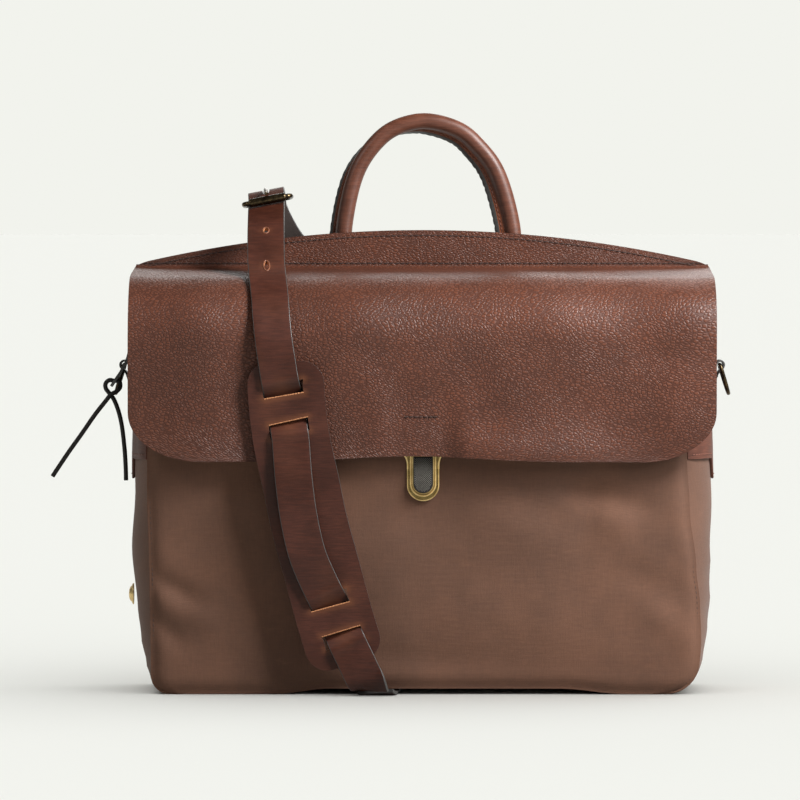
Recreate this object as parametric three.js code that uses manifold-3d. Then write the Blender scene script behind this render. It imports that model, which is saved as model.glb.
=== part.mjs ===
// Full-flap satchel bag. Millimetres, +Z up, the front faces -Y, +X is to the viewer's right.
// The origin lies on the floor under the middle of the bag.

import * as THREE from 'three';
import { mergeVertices } from 'three/addons/utils/BufferGeometryUtils.js';
import Module from 'manifold-3d';

const wasm = await Module();
wasm.setup();

// ---------------------------------------------------------------- driving dimensions
const GAP = 0.3;                       // clearance between neighbouring solids

const BODY = {
  halfWidth: 183,                      // front and back panels, seam to seam
  mouth: 245,                          // height of the mouth's edge
  corner: 26,                          // radius of the bottom corners
  canvas: 2,
  front: -52.6,                        // mid-planes of the panels
  back: 52.2,
  belly: 1.8,                          // how far the front panel bows out
  bulge: 11.5,                         // how far each gusset bows out
};

const ARCH = { height: 3.6, from: -98, fromTop: -62, toTop: 92, to: 136 };   // raised middle of the bottom

const HINGE = { y: 46.5, z: 283 };     // stitched line that the flap bends along

const FLAP = {
  halfWidth: 196,
  thickness: 2.8,
  bottom: 155,
  slope: 5,                            // degrees that the top falls forward
  bendRadius: 42,
  frontY: -63.6,
  cornerWidth: 50,
  cornerHeight: 34,
};

const CREST = { halfWidth: 195, apex: 310, drop: 23, leather: 2.2, y: 50.6, stiffenerY: 52.6, yokeY: 54.6 };

const HANDLE = { y: 62.2, pivotZ: 288, left: -53.5, right: 62.6, top: 384.5, radius: 5.8, core: 3.6 };

const STRAP = { width: 25, thickness: 2.4 };
const PAD = { width: 51, length: 205, thickness: 2.6, y: -70, slotWidth: 26.4, slotHeight: 11 };

const LOCK = { x: 0.7, bottom: 129.5, top: 167, halfWidth: 10.8, housing: 8.7, thumb: 6.2 };

const ZIP = { z: 246.5, tape: 1.6, left: -140, right: 165, end: 181, frontHinge: -50.2, backHinge: 47.8 };

const RING = { z: 219, y: 7, barX: 201.2, wire: 1.25, width: 20, drop: 20, tilt: 17 };

const LACE_RADIUS = 1.5;

// ---------------------------------------------------------------- materials
const leather = (color, roughness = 0.62) => new THREE.MeshStandardMaterial({ color, roughness, metalness: 0 });
const metal = (color, roughness = 0.35) => new THREE.MeshStandardMaterial({ color, roughness, metalness: 1 });

const COLOUR = {
  canvas: 0x6a4c3d,
  pebble: 0x62423a,
  smooth: 0x4d2c21,
  handle: 0x6b4433,
  black: 0x14110f,
  brass: 0x9a8450,
  antique: 0x5b4a2e,
  steel: 0x6f7069,
  board: 0x3b332c,
  rope: 0xb8a98a,
};

// ---------------------------------------------------------------- helpers
const V = (x, y, z) => new THREE.Vector3(x, y, z);
const rad = THREE.MathUtils.degToRad;
const smooth = (low, high, t) => THREE.MathUtils.smoothstep(t, low, high);
const bag = new THREE.Group();

// Adds a named mesh to the bag and returns it.
function add(name, geometry, material) {
  const mesh = new THREE.Mesh(geometry, material);
  mesh.name = name;
  bag.add(mesh);
  return mesh;
}

// Signed volume of an indexed geometry, which is positive when its faces point out.
function volume(geometry) {
  const p = geometry.getAttribute('position');
  const a = V();
  const b = V();
  const c = V();
  let sum = 0;
  for (let i = 0; i < geometry.index.count; i += 3) {
    a.fromBufferAttribute(p, geometry.index.getX(i));
    b.fromBufferAttribute(p, geometry.index.getX(i + 1));
    c.fromBufferAttribute(p, geometry.index.getX(i + 2));
    sum += a.dot(b.cross(c));
  }
  return sum / 6;
}

// Leaves only merged positions, with the faces turned outwards.
function closed(geometry) {
  const bare = geometry.clone();
  bare.deleteAttribute('normal');
  bare.deleteAttribute('uv');
  const merged = mergeVertices(bare, 1e-4);
  if (volume(merged) < 0) {
    const index = merged.index.array;
    for (let i = 0; i < index.length; i += 3) {
      [index[i], index[i + 1]] = [index[i + 1], index[i]];
    }
  }
  return merged;
}

function toSolid(geometry) {
  const g = closed(geometry);
  return new wasm.Manifold(new wasm.Mesh({
    numProp: 3,
    vertProperties: new Float32Array(g.getAttribute('position').array),
    triVerts: new Uint32Array(g.index.array),
  }));
}

function toGeometry(solid) {
  const mesh = solid.getMesh();
  const g = new THREE.BufferGeometry();
  g.setAttribute('position', new THREE.BufferAttribute(mesh.vertProperties, 3));
  g.setIndex(new THREE.BufferAttribute(mesh.triVerts, 1));
  return g;
}

// Cuts every tool out of a geometry.
function cut(geometry, ...tools) {
  return toGeometry(tools.reduce((left, tool) => left.subtract(toSolid(tool)), toSolid(geometry)));
}

function join(...geometries) {
  const [first, ...rest] = geometries.map(toSolid);
  return toGeometry(rest.reduce((sum, piece) => sum.add(piece), first));
}

// A closed sheet of even thickness around surface(u, v), sampled at the given values of u and v.
function sheet(surface, us, vs, thickness) {
  const step = 1e-3;
  const positions = [];
  for (const side of [0.5, -0.5]) {
    for (const v of vs) {
      for (const u of us) {
        const du = surface(u + step, v).sub(surface(u - step, v));
        const dv = surface(u, v + step).sub(surface(u, v - step));
        const p = surface(u, v).addScaledVector(du.cross(dv).normalize(), side * thickness);
        positions.push(p.x, p.y, p.z);
      }
    }
  }
  const across = us.length;
  const half = across * vs.length;
  const index = [];
  const quad = (a, b, c, d) => index.push(a, b, c, a, c, d);
  for (let j = 0; j + 1 < vs.length; j += 1) {
    for (let i = 0; i + 1 < across; i += 1) {
      const a = j * across + i;
      quad(a, a + 1, a + across + 1, a + across);
      quad(half + a, half + a + across, half + a + across + 1, half + a + 1);
    }
  }
  const rim = [];
  for (let i = 0; i < across - 1; i += 1) rim.push(i);
  for (let j = 0; j < vs.length - 1; j += 1) rim.push(j * across + across - 1);
  for (let i = across - 1; i > 0; i -= 1) rim.push((vs.length - 1) * across + i);
  for (let j = vs.length - 1; j > 0; j -= 1) rim.push(j * across);
  rim.forEach((a, k) => {
    const b = rim[(k + 1) % rim.length];
    quad(b, a, half + a, half + b);
  });
  const g = new THREE.BufferGeometry();
  g.setAttribute('position', new THREE.Float32BufferAttribute(positions, 3));
  g.setIndex(index);
  return closed(g);
}

const span = (low, high, steps) => Array.from({ length: steps + 1 }, (_, i) => low + ((high - low) * i) / steps);

// A flat strap along a curve, its width held square to the curve and as near as can be to across(t).
function ribbon(curve, across, width, thickness) {
  const length = curve.getLength();
  const surface = (u, v) => {
    const t = THREE.MathUtils.clamp(v, 0, 1);
    const beyond = (v - t) * length;
    const tangent = curve.getTangentAt(t);
    const side = across(t).clone();
    side.addScaledVector(tangent, -side.dot(tangent)).normalize();
    return curve.getPointAt(t).addScaledVector(tangent, beyond).addScaledVector(side, u * width / 2);
  };
  return sheet(surface, [-1, 1], stations(curve), thickness);
}

// Values of t along a curve, closer together where it bends.
function stations(curve) {
  const turn = rad(14);
  const reach = 24 / curve.getLength();
  const found = [0];
  let last = curve.getTangentAt(0);
  for (const t of span(0, 1, 900).slice(1, -4)) {
    const tangent = curve.getTangentAt(t);
    if (tangent.angleTo(last) > turn || t - found.at(-1) > reach) {
      found.push(t);
      last = tangent;
    }
  }
  return [...found, 1];
}

// A smooth curve through points.
function route(points) {
  const curve = new THREE.CatmullRomCurve3(points.map((p) => V(...p)), false, 'centripetal');
  curve.arcLengthDivisions = 600;
  return curve;
}

// A closed round tube along an open curve.
function rod(curve, radius, steps, sides = 10) {
  const shape = new THREE.Shape(circle(radius, sides));
  return closed(new THREE.ExtrudeGeometry(shape, { steps, extrudePath: curve, bevelEnabled: false }));
}

function circle(radius, sides, x = 0, y = 0) {
  return span(0, sides - 1, sides - 1).map((i) => {
    const a = (2 * Math.PI * i) / sides;
    return new THREE.Vector2(x + radius * Math.cos(a), y + radius * Math.sin(a));
  });
}

// A ring of round wire along a closed curve.
const wireRing = (curve, radius, steps, sides = 8) => closed(new THREE.TubeGeometry(curve, steps, radius, sides, true));

// A box from its lowest corner to its highest.
function box(low, high) {
  const g = new THREE.BoxGeometry(high[0] - low[0], high[1] - low[1], high[2] - low[2]);
  return g.translate((low[0] + high[0]) / 2, (low[1] + high[1]) / 2, (low[2] + high[2]) / 2);
}

// A plate whose outline is drawn in X and Z, standing between two values of y.
function plate(shape, yFront, yBack, curveSegments = 10) {
  const g = new THREE.ExtrudeGeometry(shape, { depth: yBack - yFront, bevelEnabled: false, curveSegments });
  return closed(g.rotateX(Math.PI / 2).translate(0, yBack, 0));
}

// A round bar between two values of y.
function pinAlongY(x, z, radius, yFront, yBack, sides = 12) {
  const g = new THREE.CylinderGeometry(radius, radius, yBack - yFront, sides);
  return g.translate(x, (yFront + yBack) / 2, z);
}

// ---------------------------------------------------------------- canvas body
// Height of the bottom's raised middle at x.
const arch = (x) => ARCH.height * smooth(ARCH.from, ARCH.fromTop, x) * (1 - smooth(ARCH.toTop, ARCH.to, x));

// Half-width of a panel at a height, with round bottom corners and sides that lean in a little.
function panelHalfWidth(z) {
  const lean = 2.5 * (z / BODY.mouth) ** 2;
  if (z >= BODY.corner) return BODY.halfWidth - lean;
  const up = BODY.corner - z;
  return BODY.halfWidth - BODY.corner + Math.sqrt(Math.max(BODY.corner ** 2 - up ** 2, 0));
}

// Heights sampled closely round the bottom corners and then evenly.
function panelRows(low, top) {
  const round = [0, 25, 50, 75].map((a) => low + (BODY.corner - low) * (1 - Math.cos(rad(a))));
  return [...round, ...span(BODY.corner + 10, top, 4)];
}

function panel(y, bow, top, low) {
  const columns = [-BODY.halfWidth, ARCH.from, ARCH.fromTop, 0, ARCH.toTop, ARCH.to, BODY.halfWidth];
  const us = columns.map((x) => x / BODY.halfWidth);
  const surface = (u, z) => {
    const x = u * panelHalfWidth(z);
    const out = bow * Math.sin((Math.PI * z) / top) * Math.cos((u * Math.PI) / 2);
    return V(x, y + out, z + arch(x) * (1 - smooth(0, 70, z)));
  };
  return sheet(surface, us, panelRows(low, top), BODY.canvas);
}

function bodyPanels() {
  const canvas = () => leather(COLOUR.canvas, 0.85);
  const low = 0.2;
  const rivetHoles = LOCK_RIVETS.map(([x, z]) => pinAlongY(x, z, 1.6, -60, -45));
  add('front_panel', cut(panel(BODY.front, -BODY.belly, BODY.mouth, low), ...rivetHoles), canvas());
  add('back_panel', panel(BODY.back, 0, HINGE.z - 14, low), canvas());
}

// Mid-line of the gusset strip: down the left side, along the bottom and up the right side.
function gussetLine() {
  const radius = BODY.corner - BODY.canvas / 2;
  const side = BODY.halfWidth - BODY.canvas / 2;
  const flat = side - radius;
  const points = [];
  for (const z of span(BODY.mouth, radius + 8, 5)) points.push({ x: -side, z, out: V(-1, 0, 0) });
  for (const a of span(0, 90, 5)) {
    const out = V(-Math.cos(rad(a)), 0, -Math.sin(rad(a)));
    points.push({ x: -flat + radius * out.x, z: BODY.corner + radius * out.z, out });
  }
  for (const x of [-128, ARCH.from, -80, ARCH.fromTop, 0, ARCH.toTop, 114, ARCH.to]) {
    points.push({ x, z: BODY.canvas / 2, out: V(0, 0, -1) });
  }
  const left = points.slice(0, 13).map((p) => ({ x: -p.x, z: p.z, out: V(-p.out.x, 0, p.out.z) }));
  return [...points, ...left.reverse()];
}

function gussetBulge(p) {
  const low = smooth(0, 62, p.z);
  const lean = 2.5 * (p.z / BODY.mouth) ** 2;
  return { bow: BODY.bulge * low, lean: lean * Math.abs(p.out.x) };
}

// A point on a strip that runs along the gusset, lifted off it by a distance.
function onGusset(line, i, v, lift) {
  const k = THREE.MathUtils.clamp(i, 0, line.length - 1);
  const j = Math.min(Math.floor(k), line.length - 2);
  const f = i - j;
  const a = line[j];
  const b = line[j + 1];
  const p = {
    x: THREE.MathUtils.lerp(a.x, b.x, f),
    z: THREE.MathUtils.lerp(a.z, b.z, f),
    out: a.out.clone().lerp(b.out, THREE.MathUtils.clamp(f, 0, 1)).normalize(),
  };
  const { bow, lean } = gussetBulge(p);
  const y = THREE.MathUtils.lerp(BODY.front + 1.6, BODY.back - 2.6, v);
  const middle = 1 - (2 * v - 1) ** 2;
  const bottom = Math.abs(p.out.z) > 0.999 ? arch(p.x) : 0;
  return V(p.x, y, p.z + bottom).addScaledVector(p.out, bow * middle - lean + lift);
}

function gusset() {
  const line = gussetLine();
  const surface = (v, i) => onGusset(line, i, v, 0);
  const rows = span(0, line.length - 1, line.length - 1);
  add('gusset', sheet(surface, span(0, 1, 4), rows, BODY.canvas), leather(COLOUR.canvas, 0.85));
  const floor = box([-155, -46, BODY.canvas + GAP + ARCH.height], [155, 44, BODY.canvas + GAP + ARCH.height + 2]);
  add('base_board', floor, leather(COLOUR.board, 0.9));
}

// Smooth leather over the top of each gusset, with a tab in the middle of its lower edge.
function gussetLeather() {
  const line = gussetLine();
  const lift = BODY.canvas / 2 + GAP + 0.9;
  const heightToIndex = (z) => (BODY.mouth - z) / ((BODY.mouth - (BODY.corner - 1) - 8) / 5);
  for (const [side, flip] of [['left', 1], ['right', -1]]) {
    const lowIndex = (v) => heightToIndex(157 - 15 * smooth(0.34, 0.4, v) * (1 - smooth(0.6, 0.66, v)));
    const surface = (v, t) => {
      const p = onGusset(line, lowIndex(v) * t, v, lift);
      p.x *= flip;
      return p;
    };
    const columns = [0.01, 0.25, 0.34, 0.4, 0.5, 0.6, 0.66, 0.75, 0.99];
    add(`gusset_leather_${side}`, sheet(surface, columns, span(0, 1, 3), 1.8), leather(COLOUR.pebble));
  }
}

// ---------------------------------------------------------------- D-rings on the gussets
function sideRings() {
  for (const [side, flip] of [['left', -1], ['right', 1]]) {
    const loop = ringLoop();
    loop.scale(flip, 1, 1);
    add(`ring_loop_${side}`, closed(loop), leather(COLOUR.black, 0.55));
    const ring = wireRing(dRingCurve(), RING.wire, 26, 6);
    ring.rotateY(rad(-RING.tilt));
    ring.translate(RING.barX, RING.y, RING.z);
    ring.scale(flip, 1, 1);
    add(`d_ring_${side}`, closed(ring), metal(COLOUR.antique));
  }
}

// A leather leaf on the gusset whose top is folded round the ring's bar.
function ringLoop() {
  const inner = 197.1;
  const outline = new THREE.Shape();
  const fold = 3.3;
  outline.moveTo(inner, 190);
  outline.lineTo(inner + 1.5, 190);
  outline.lineTo(inner + 2.2, RING.z - fold);
  outline.lineTo(RING.barX, RING.z - fold);
  outline.absarc(RING.barX, RING.z, fold, -Math.PI / 2, Math.PI / 2, false);
  outline.lineTo(inner, RING.z + fold);
  outline.closePath();
  outline.holes.push(new THREE.Path(circle(RING.wire + 0.5, 12, RING.barX, RING.z)));
  return plate(outline, RING.y - 7.5, RING.y + 7.5, 8);
}

// A straight bar on top and a round bow below, in the YZ plane.
function dRingCurve() {
  const half = RING.width / 2;
  const curve = new THREE.CurvePath();
  const corner = 2.2;
  const bow = (y1, z1, y2, z2, y3, z3) => new THREE.QuadraticBezierCurve3(V(0, y1, z1), V(0, y2, z2), V(0, y3, z3));
  curve.add(new THREE.LineCurve3(V(0, -half + corner, 0), V(0, half - corner, 0)));
  curve.add(bow(half - corner, 0, half, 0, half, -corner));
  curve.add(new THREE.LineCurve3(V(0, half, -corner), V(0, half, -half + 1)));
  curve.add(bow(half, -half + 1, half, -RING.drop + 2, 0, -RING.drop));
  curve.add(bow(0, -RING.drop, -half, -RING.drop + 2, -half, -half + 1));
  curve.add(new THREE.LineCurve3(V(0, -half, -half + 1), V(0, -half, -corner)));
  curve.add(bow(-half, -corner, -half, 0, -half + corner, 0));
  return curve;
}

function sideStud() {
  const dome = span(0, 90, 4).map((a) => new THREE.Vector2(7 * Math.cos(rad(a)), 2.8 * Math.sin(rad(a))));
  const g = new THREE.LatheGeometry([new THREE.Vector2(0, 0), ...dome.slice(0, -1), new THREE.Vector2(0, 2.8)], 14);
  g.rotateZ(Math.PI / 2);
  g.translate(-195.1, 0, 64.5);
  add('side_stud', closed(g), metal(COLOUR.brass));
}

// ---------------------------------------------------------------- flap and crest
// Length of each stretch of the flap's section: top, bend and front.
function flapSection() {
  const slope = rad(FLAP.slope);
  const r = FLAP.bendRadius;
  const bendY = FLAP.frontY + r;
  const topEndY = bendY - r * Math.sin(slope);
  const top = (HINGE.y - topEndY) / Math.cos(slope);
  const bendZ = HINGE.z - top * Math.sin(slope) - r * Math.cos(slope);
  return { slope, r, bendY, bendZ, top, bend: r * (Math.PI / 2 - slope), front: bendZ - FLAP.bottom };
}

// A point on the flap's mid-surface, at a distance s along its section from the hinge.
function flapPoint(x, s) {
  const f = flapSection();
  if (s <= f.top) return V(x, HINGE.y - s * Math.cos(f.slope), HINGE.z - s * Math.sin(f.slope));
  if (s <= f.top + f.bend) {
    const a = f.slope + (s - f.top) / f.r;
    return V(x, f.bendY - f.r * Math.sin(a), f.bendZ + f.r * Math.cos(a));
  }
  return V(x, FLAP.frontY, f.bendZ - (s - f.top - f.bend));
}

// Half-width of the flap at a distance above its lower edge.
function flapHalfWidth(above) {
  if (above >= FLAP.cornerHeight) return FLAP.halfWidth;
  const t = Math.max(1 - above / FLAP.cornerHeight, 0);
  return FLAP.halfWidth - FLAP.cornerWidth * (1 - Math.sqrt(Math.max(1 - t ** 2, 0)));
}

function flap() {
  const f = flapSection();
  const length = f.top + f.bend + f.front;
  const surface = (u, s) => flapPoint(u * flapHalfWidth(length - s), s);
  const corner = [90, 68, 46, 24, 4].map((a) => length - FLAP.cornerHeight * (1 - Math.cos(rad(a))));
  const rows = [
    ...span(0, f.top, 3),
    ...span(f.top + f.bend / 6, f.top + f.bend, 5),
    f.top + f.bend + 24,
    ...corner,
  ];
  add('flap', sheet(surface, span(-1, 1, 2), rows, FLAP.thickness), leather(COLOUR.pebble));
}

const crestTop = (x) => CREST.apex - CREST.drop * (x / CREST.halfWidth) ** 2;

// One layer of the crest, from a level lower edge to the arch, with rounded ends.
function crestLayer(y, low, inset, thickness) {
  const half = CREST.halfWidth - inset;
  const surface = (u, v) => {
    const x = u * half;
    const end = 6 * smooth(0.97, 1, Math.abs(u));
    const top = Math.max(crestTop(x) - inset - end, low + 1.4);
    return V(x, y, THREE.MathUtils.lerp(low, top, v));
  };
  const columns = [-1, -0.985, ...span(-0.96, 0.96, 10), 0.985, 1];
  return sheet(surface, columns, [0, 1], thickness);
}

function crest() {
  add('crest_front', crestLayer(CREST.y, HINGE.z + 0.8, 0, CREST.leather), leather(COLOUR.pebble));
  add('crest_stiffener', crestLayer(CREST.stiffenerY, HINGE.z - 12, 6, 1.2), leather(COLOUR.board, 0.9));
  add('back_yoke', crestLayer(CREST.yokeY, 232, 0, CREST.leather), leather(COLOUR.pebble));
}

// ---------------------------------------------------------------- handle
function handleCurve() {
  const { y, pivotZ, left, right, top } = HANDLE;
  const apexX = (left + right) / 2 - 3;
  const rise = top - pivotZ;
  return route([
    [left, y, pivotZ],
    [left + 0.5, y, pivotZ + 0.26 * rise],
    [left + 9, y, pivotZ + 0.64 * rise],
    [left + 21, y, pivotZ + 0.835 * rise],
    [left + 34, y, pivotZ + 0.945 * rise],
    [apexX, y, top],
    [right - 37, y, pivotZ + 0.935 * rise],
    [right - 24, y, pivotZ + 0.82 * rise],
    [right - 12, y, pivotZ + 0.65 * rise],
    [right - 1, y, pivotZ + 0.26 * rise],
    [right, y, pivotZ],
  ]);
}

function handle() {
  const curve = handleCurve();
  const { radius, core, y, pivotZ, left, right } = HANDLE;
  const outline = new THREE.Shape(circle(radius, 12));
  outline.holes.push(new THREE.Path(circle(core + GAP, 8)));
  const tube = new THREE.ExtrudeGeometry(outline, { steps: 24, extrudePath: curve, bevelEnabled: false });
  add('handle_cover', closed(tube), leather(COLOUR.handle));
  add('handle_core', rod(curve, core - 0.1, 24, 6), leather(COLOUR.rope, 0.9));
  for (const [side, x] of [['left', left], ['right', right]]) {
    const leaf = new THREE.Shape();
    leaf.moveTo(x - 8, pivotZ - 4);
    leaf.lineTo(x - 11, 246);
    leaf.absarc(x, 246, 11, Math.PI, 2 * Math.PI, false);
    leaf.lineTo(x + 8, pivotZ - 4);
    leaf.closePath();
    add(`handle_tab_${side}`, plate(leaf, CREST.yokeY + 1.1 + GAP, y - 2.6, 6), leather(COLOUR.handle));
  }
}

// ---------------------------------------------------------------- lock and catch
const LOCK_RIVETS = [-5.4, 5.4].map((dx) => [LOCK.x + dx, LOCK.top - 5]);
const LOCK_LAYERS = { base: [-56.8, -55.6], housing: [-59.4, -57.1], thumb: [-61.7, -59.7] };

// A shield with a round bottom, flared at its top when asked.
function shield(half, bottom, top, flare = 0) {
  const s = new THREE.Shape();
  s.absarc(LOCK.x, bottom + half, half, Math.PI, 2 * Math.PI, false);
  s.lineTo(LOCK.x + half, top - 14);
  s.quadraticCurveTo(LOCK.x + half, top - 8, LOCK.x + half + flare, top - 5);
  s.lineTo(LOCK.x + half + flare, top);
  s.lineTo(LOCK.x - half - flare, top);
  s.lineTo(LOCK.x - half - flare, top - 5);
  s.quadraticCurveTo(LOCK.x - half, top - 8, LOCK.x - half, top - 14);
  s.closePath();
  return s;
}

// A U-shaped frame, open at its top, round a slot with straight sides.
function lockHousing() {
  const [yFront, yBack] = LOCK_LAYERS.housing;
  const bottom = LOCK.bottom + 4;
  const outer = plate(shield(LOCK.housing, bottom, LOCK.top - 1), yFront, yBack);
  const inner = plate(shield(LOCK.thumb + 0.2, bottom + 2.3, LOCK.top + 5), yFront - 1, yBack + 1);
  return cut(outer, inner);
}

function lock() {
  const [baseFront, baseBack] = LOCK_LAYERS.base;
  const holes = LOCK_RIVETS.map(([x, z]) => pinAlongY(x, z, 1.6, -60, -45));
  const base = plate(shield(LOCK.halfWidth, LOCK.bottom, LOCK.top, 2.2), baseFront, baseBack);
  add('lock_base', cut(base, ...holes), metal(COLOUR.brass));
  add('lock_housing', lockHousing(), metal(COLOUR.brass));
  const backing = box([LOCK.x - 13, -51.2, 140], [LOCK.x + 13, -50.2, LOCK.top]);
  add('lock_backplate', cut(backing, ...holes), metal(COLOUR.antique));
  LOCK_RIVETS.forEach(([x, z], i) => {
    const shank = pinAlongY(x, z, 1.2, baseFront + 0.2, -49.9, 10);
    const head = pinAlongY(x, z, 2.4, -49.9, -49.1, 10);
    add(`lock_rivet_${i + 1}`, join(shank, head), metal(COLOUR.antique));
  });

  const [thumbFront, thumbBack] = LOCK_LAYERS.thumb;
  const face = plate(shield(LOCK.thumb, LOCK.bottom + 8, LOCK.top - 8), thumbFront, thumbBack);
  const stem = box([LOCK.x - 4, thumbBack - 0.5, 152], [LOCK.x + 4, -57.4, 157]);
  add('lock_thumb', join(face, stem), metal(COLOUR.steel, 0.5));
  add('lock_spring', lockSpring(), metal(COLOUR.steel));
}

// The compression spring that pushes the thumb piece back up.
function lockSpring() {
  const low = 139.4;
  const high = 151.6;
  const turns = 5;
  class Helix extends THREE.Curve {
    getPoint(t, target = V()) {
      const a = 2 * Math.PI * turns * t;
      return target.set(LOCK.x + 1.6 * Math.cos(a), -58.4 + 0.55 * Math.sin(a), low + (high - low) * t);
    }
  }
  return rod(new Helix(), 0.25, 40, 4);
}

function flapCatch() {
  const rivets = [-5, 5].map((dx) => [LOCK.x + dx, 181]);
  const holes = rivets.map(([x, z]) => pinAlongY(x, z, 1.6, -70, -50));
  const tab = new THREE.Shape();
  tab.moveTo(LOCK.x - 12, 205);
  tab.lineTo(LOCK.x - 12, 178);
  tab.quadraticCurveTo(LOCK.x - 12, 172, LOCK.x - 6, 172);
  tab.lineTo(LOCK.x + 6, 172);
  tab.quadraticCurveTo(LOCK.x + 12, 172, LOCK.x + 12, 178);
  tab.lineTo(LOCK.x + 12, 205);
  tab.closePath();
  add('catch_tab', cut(plate(tab, -61.8, -59.8, 5), ...holes), leather(COLOUR.smooth));
  add('catch_plate', cut(box([LOCK.x - 8, -59.5, 168.4], [LOCK.x + 8, -58.3, 187]), ...holes), metal(COLOUR.brass));
  rivets.forEach(([x, z], i) => {
    const shank = pinAlongY(x, z, 1.2, -61.6, -58, 10);
    const head = pinAlongY(x, z, 2.4, -58, -57.2, 10);
    add(`catch_rivet_${i + 1}`, join(shank, head), metal(COLOUR.antique));
  });
}

// ---------------------------------------------------------------- zip across the mouth
function zip() {
  const low = ZIP.z - ZIP.tape / 2;
  const high = ZIP.z + ZIP.tape / 2;
  const tape = () => leather(COLOUR.canvas, 0.85);
  add('zip_band_front', box([ZIP.left, ZIP.frontHinge, low], [ZIP.right, -3, high]), tape());
  add('zip_band_back', box([ZIP.left, 0.6, low], [ZIP.right, ZIP.backHinge, high]), tape());
  add('zip_teeth_front', zipTeeth(-3 + GAP, 1), metal(COLOUR.brass));
  add('zip_teeth_back', zipTeeth(0.6 - GAP, -1), metal(COLOUR.brass));

  const slit = box([-177, -3.4, low - 1], [ZIP.left + 5, 1, high + 1]);
  const left = box([-195.4, -18, low], [-ZIP.end + 8, -1.2 + 12, high]);
  const leftWide = box([-ZIP.end, ZIP.frontHinge + 0.4, low], [ZIP.left - GAP, ZIP.backHinge - 0.4, high]);
  add('zip_end_left', cut(join(left, leftWide), slit), tape());
  const rightSlit = box([ZIP.right - 5, -3.4, low - 1], [178, 1, high + 1]);
  const right = box([ZIP.right + GAP, ZIP.frontHinge + 0.4, low], [ZIP.end, ZIP.backHinge - 0.4, high]);
  add('zip_end_right', cut(right, rightSlit), tape());
  slider(low, high);
}

// A toothed edge along one side of the zip's middle.
function zipTeeth(y, direction) {
  const pitch = 30.4;
  const low = ZIP.z - 0.7;
  const high = ZIP.z + 0.7;
  const s = new THREE.Shape();
  s.moveTo(ZIP.left + 0.2, y);
  for (let x = ZIP.left + 0.2; x + pitch < ZIP.right; x += pitch) {
    s.lineTo(x, y + 1.2 * direction);
    s.lineTo(x + pitch * 0.72, y + 1.2 * direction);
    s.lineTo(x + pitch * 0.72, y + 0.8 * direction);
    s.lineTo(x + pitch, y + 0.8 * direction);
  }
  s.lineTo(ZIP.right - 0.2, y + 0.8 * direction);
  s.lineTo(ZIP.right - 0.2, y);
  s.closePath();
  const g = new THREE.ExtrudeGeometry(s, { depth: high - low, bevelEnabled: false });
  return closed(g.translate(0, 0, low));
}

function slider(low, high) {
  const x = -168.5;
  const middle = -1.2;
  const half = 4.6;
  const wing = (z) => box([x - 7.5, middle - half, z], [x + 7.5, middle + half, z + 1.2]);
  const neck = box([x - 6, middle - 1.2, low - 1.2], [x - 2, middle + 1.2, high + 1]);
  const lug = box([x - 1.5, middle - 1.4, high + 1], [x + 1.5, middle + 1.4, high + 5]);
  const eye = pinAlongY(x, high + 3.3, 0.9, middle - 5, middle + 5, 8);
  add('zip_slider', cut(join(wing(low - 1.5), wing(high + 0.3), neck, lug), eye), metal(COLOUR.antique));

  const pull = new THREE.Shape();
  pull.moveTo(-1.2, -3.4);
  pull.lineTo(12, -3);
  pull.absarc(12, 0, 3, -Math.PI / 2, Math.PI / 2, false);
  pull.lineTo(-1.2, 3.4);
  pull.lineTo(-1.2, 1.9);
  pull.lineTo(5, 1.9);
  pull.lineTo(5, -1.9);
  pull.lineTo(-1.2, -1.9);
  pull.closePath();
  const blade = new THREE.ExtrudeGeometry(pull, { depth: 1, bevelEnabled: false, curveSegments: 6 });
  blade.translate(x, middle, high + 2.8);
  const pin = pinAlongY(x, high + 3.3, 0.6, middle - 2.6, middle + 2.6, 8);
  add('zip_slider_pull', join(closed(blade), pin), metal(COLOUR.antique));
}

// The leather tail on the zip's left end, and the lace tied through it.
const TAIL = { x: -197, y: -14, z: 246.5, width: 12 };

function zipTail() {
  const curve = route([
    [TAIL.x + 0.6, TAIL.y, TAIL.z],
    [TAIL.x + 0.5, TAIL.y, TAIL.z - 3],
    [TAIL.x + 0.6, TAIL.y, TAIL.z - 10],
    [TAIL.x + 0.2, TAIL.y, TAIL.z - 17],
    [TAIL.x - 1.6, TAIL.y, TAIL.z - 24],
    [TAIL.x - 5, TAIL.y, TAIL.z - 30.6],
    [TAIL.x - 9.6, TAIL.y, TAIL.z - 37.5],
    [TAIL.x - 12.2, TAIL.y, TAIL.z - 41.4],
  ]);
  const strip = ribbon(curve, () => V(0, 1, 0), TAIL.width, 2);
  const hole = new THREE.CylinderGeometry(2.3, 2.3, 12, 12);
  hole.rotateZ(Math.PI / 2);
  hole.translate(TAIL.x - 9.6, TAIL.y, TAIL.z - 37.5);
  add('zip_tail', cut(strip, hole), leather(COLOUR.black, 0.55));

  add('lace_long', rod(route(LACE_LONG), LACE_RADIUS, 18, 8), leather(COLOUR.black, 0.6));
  add('lace_short', rod(route(LACE_SHORT), LACE_RADIUS, 16, 8), leather(COLOUR.black, 0.6));
}

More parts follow.
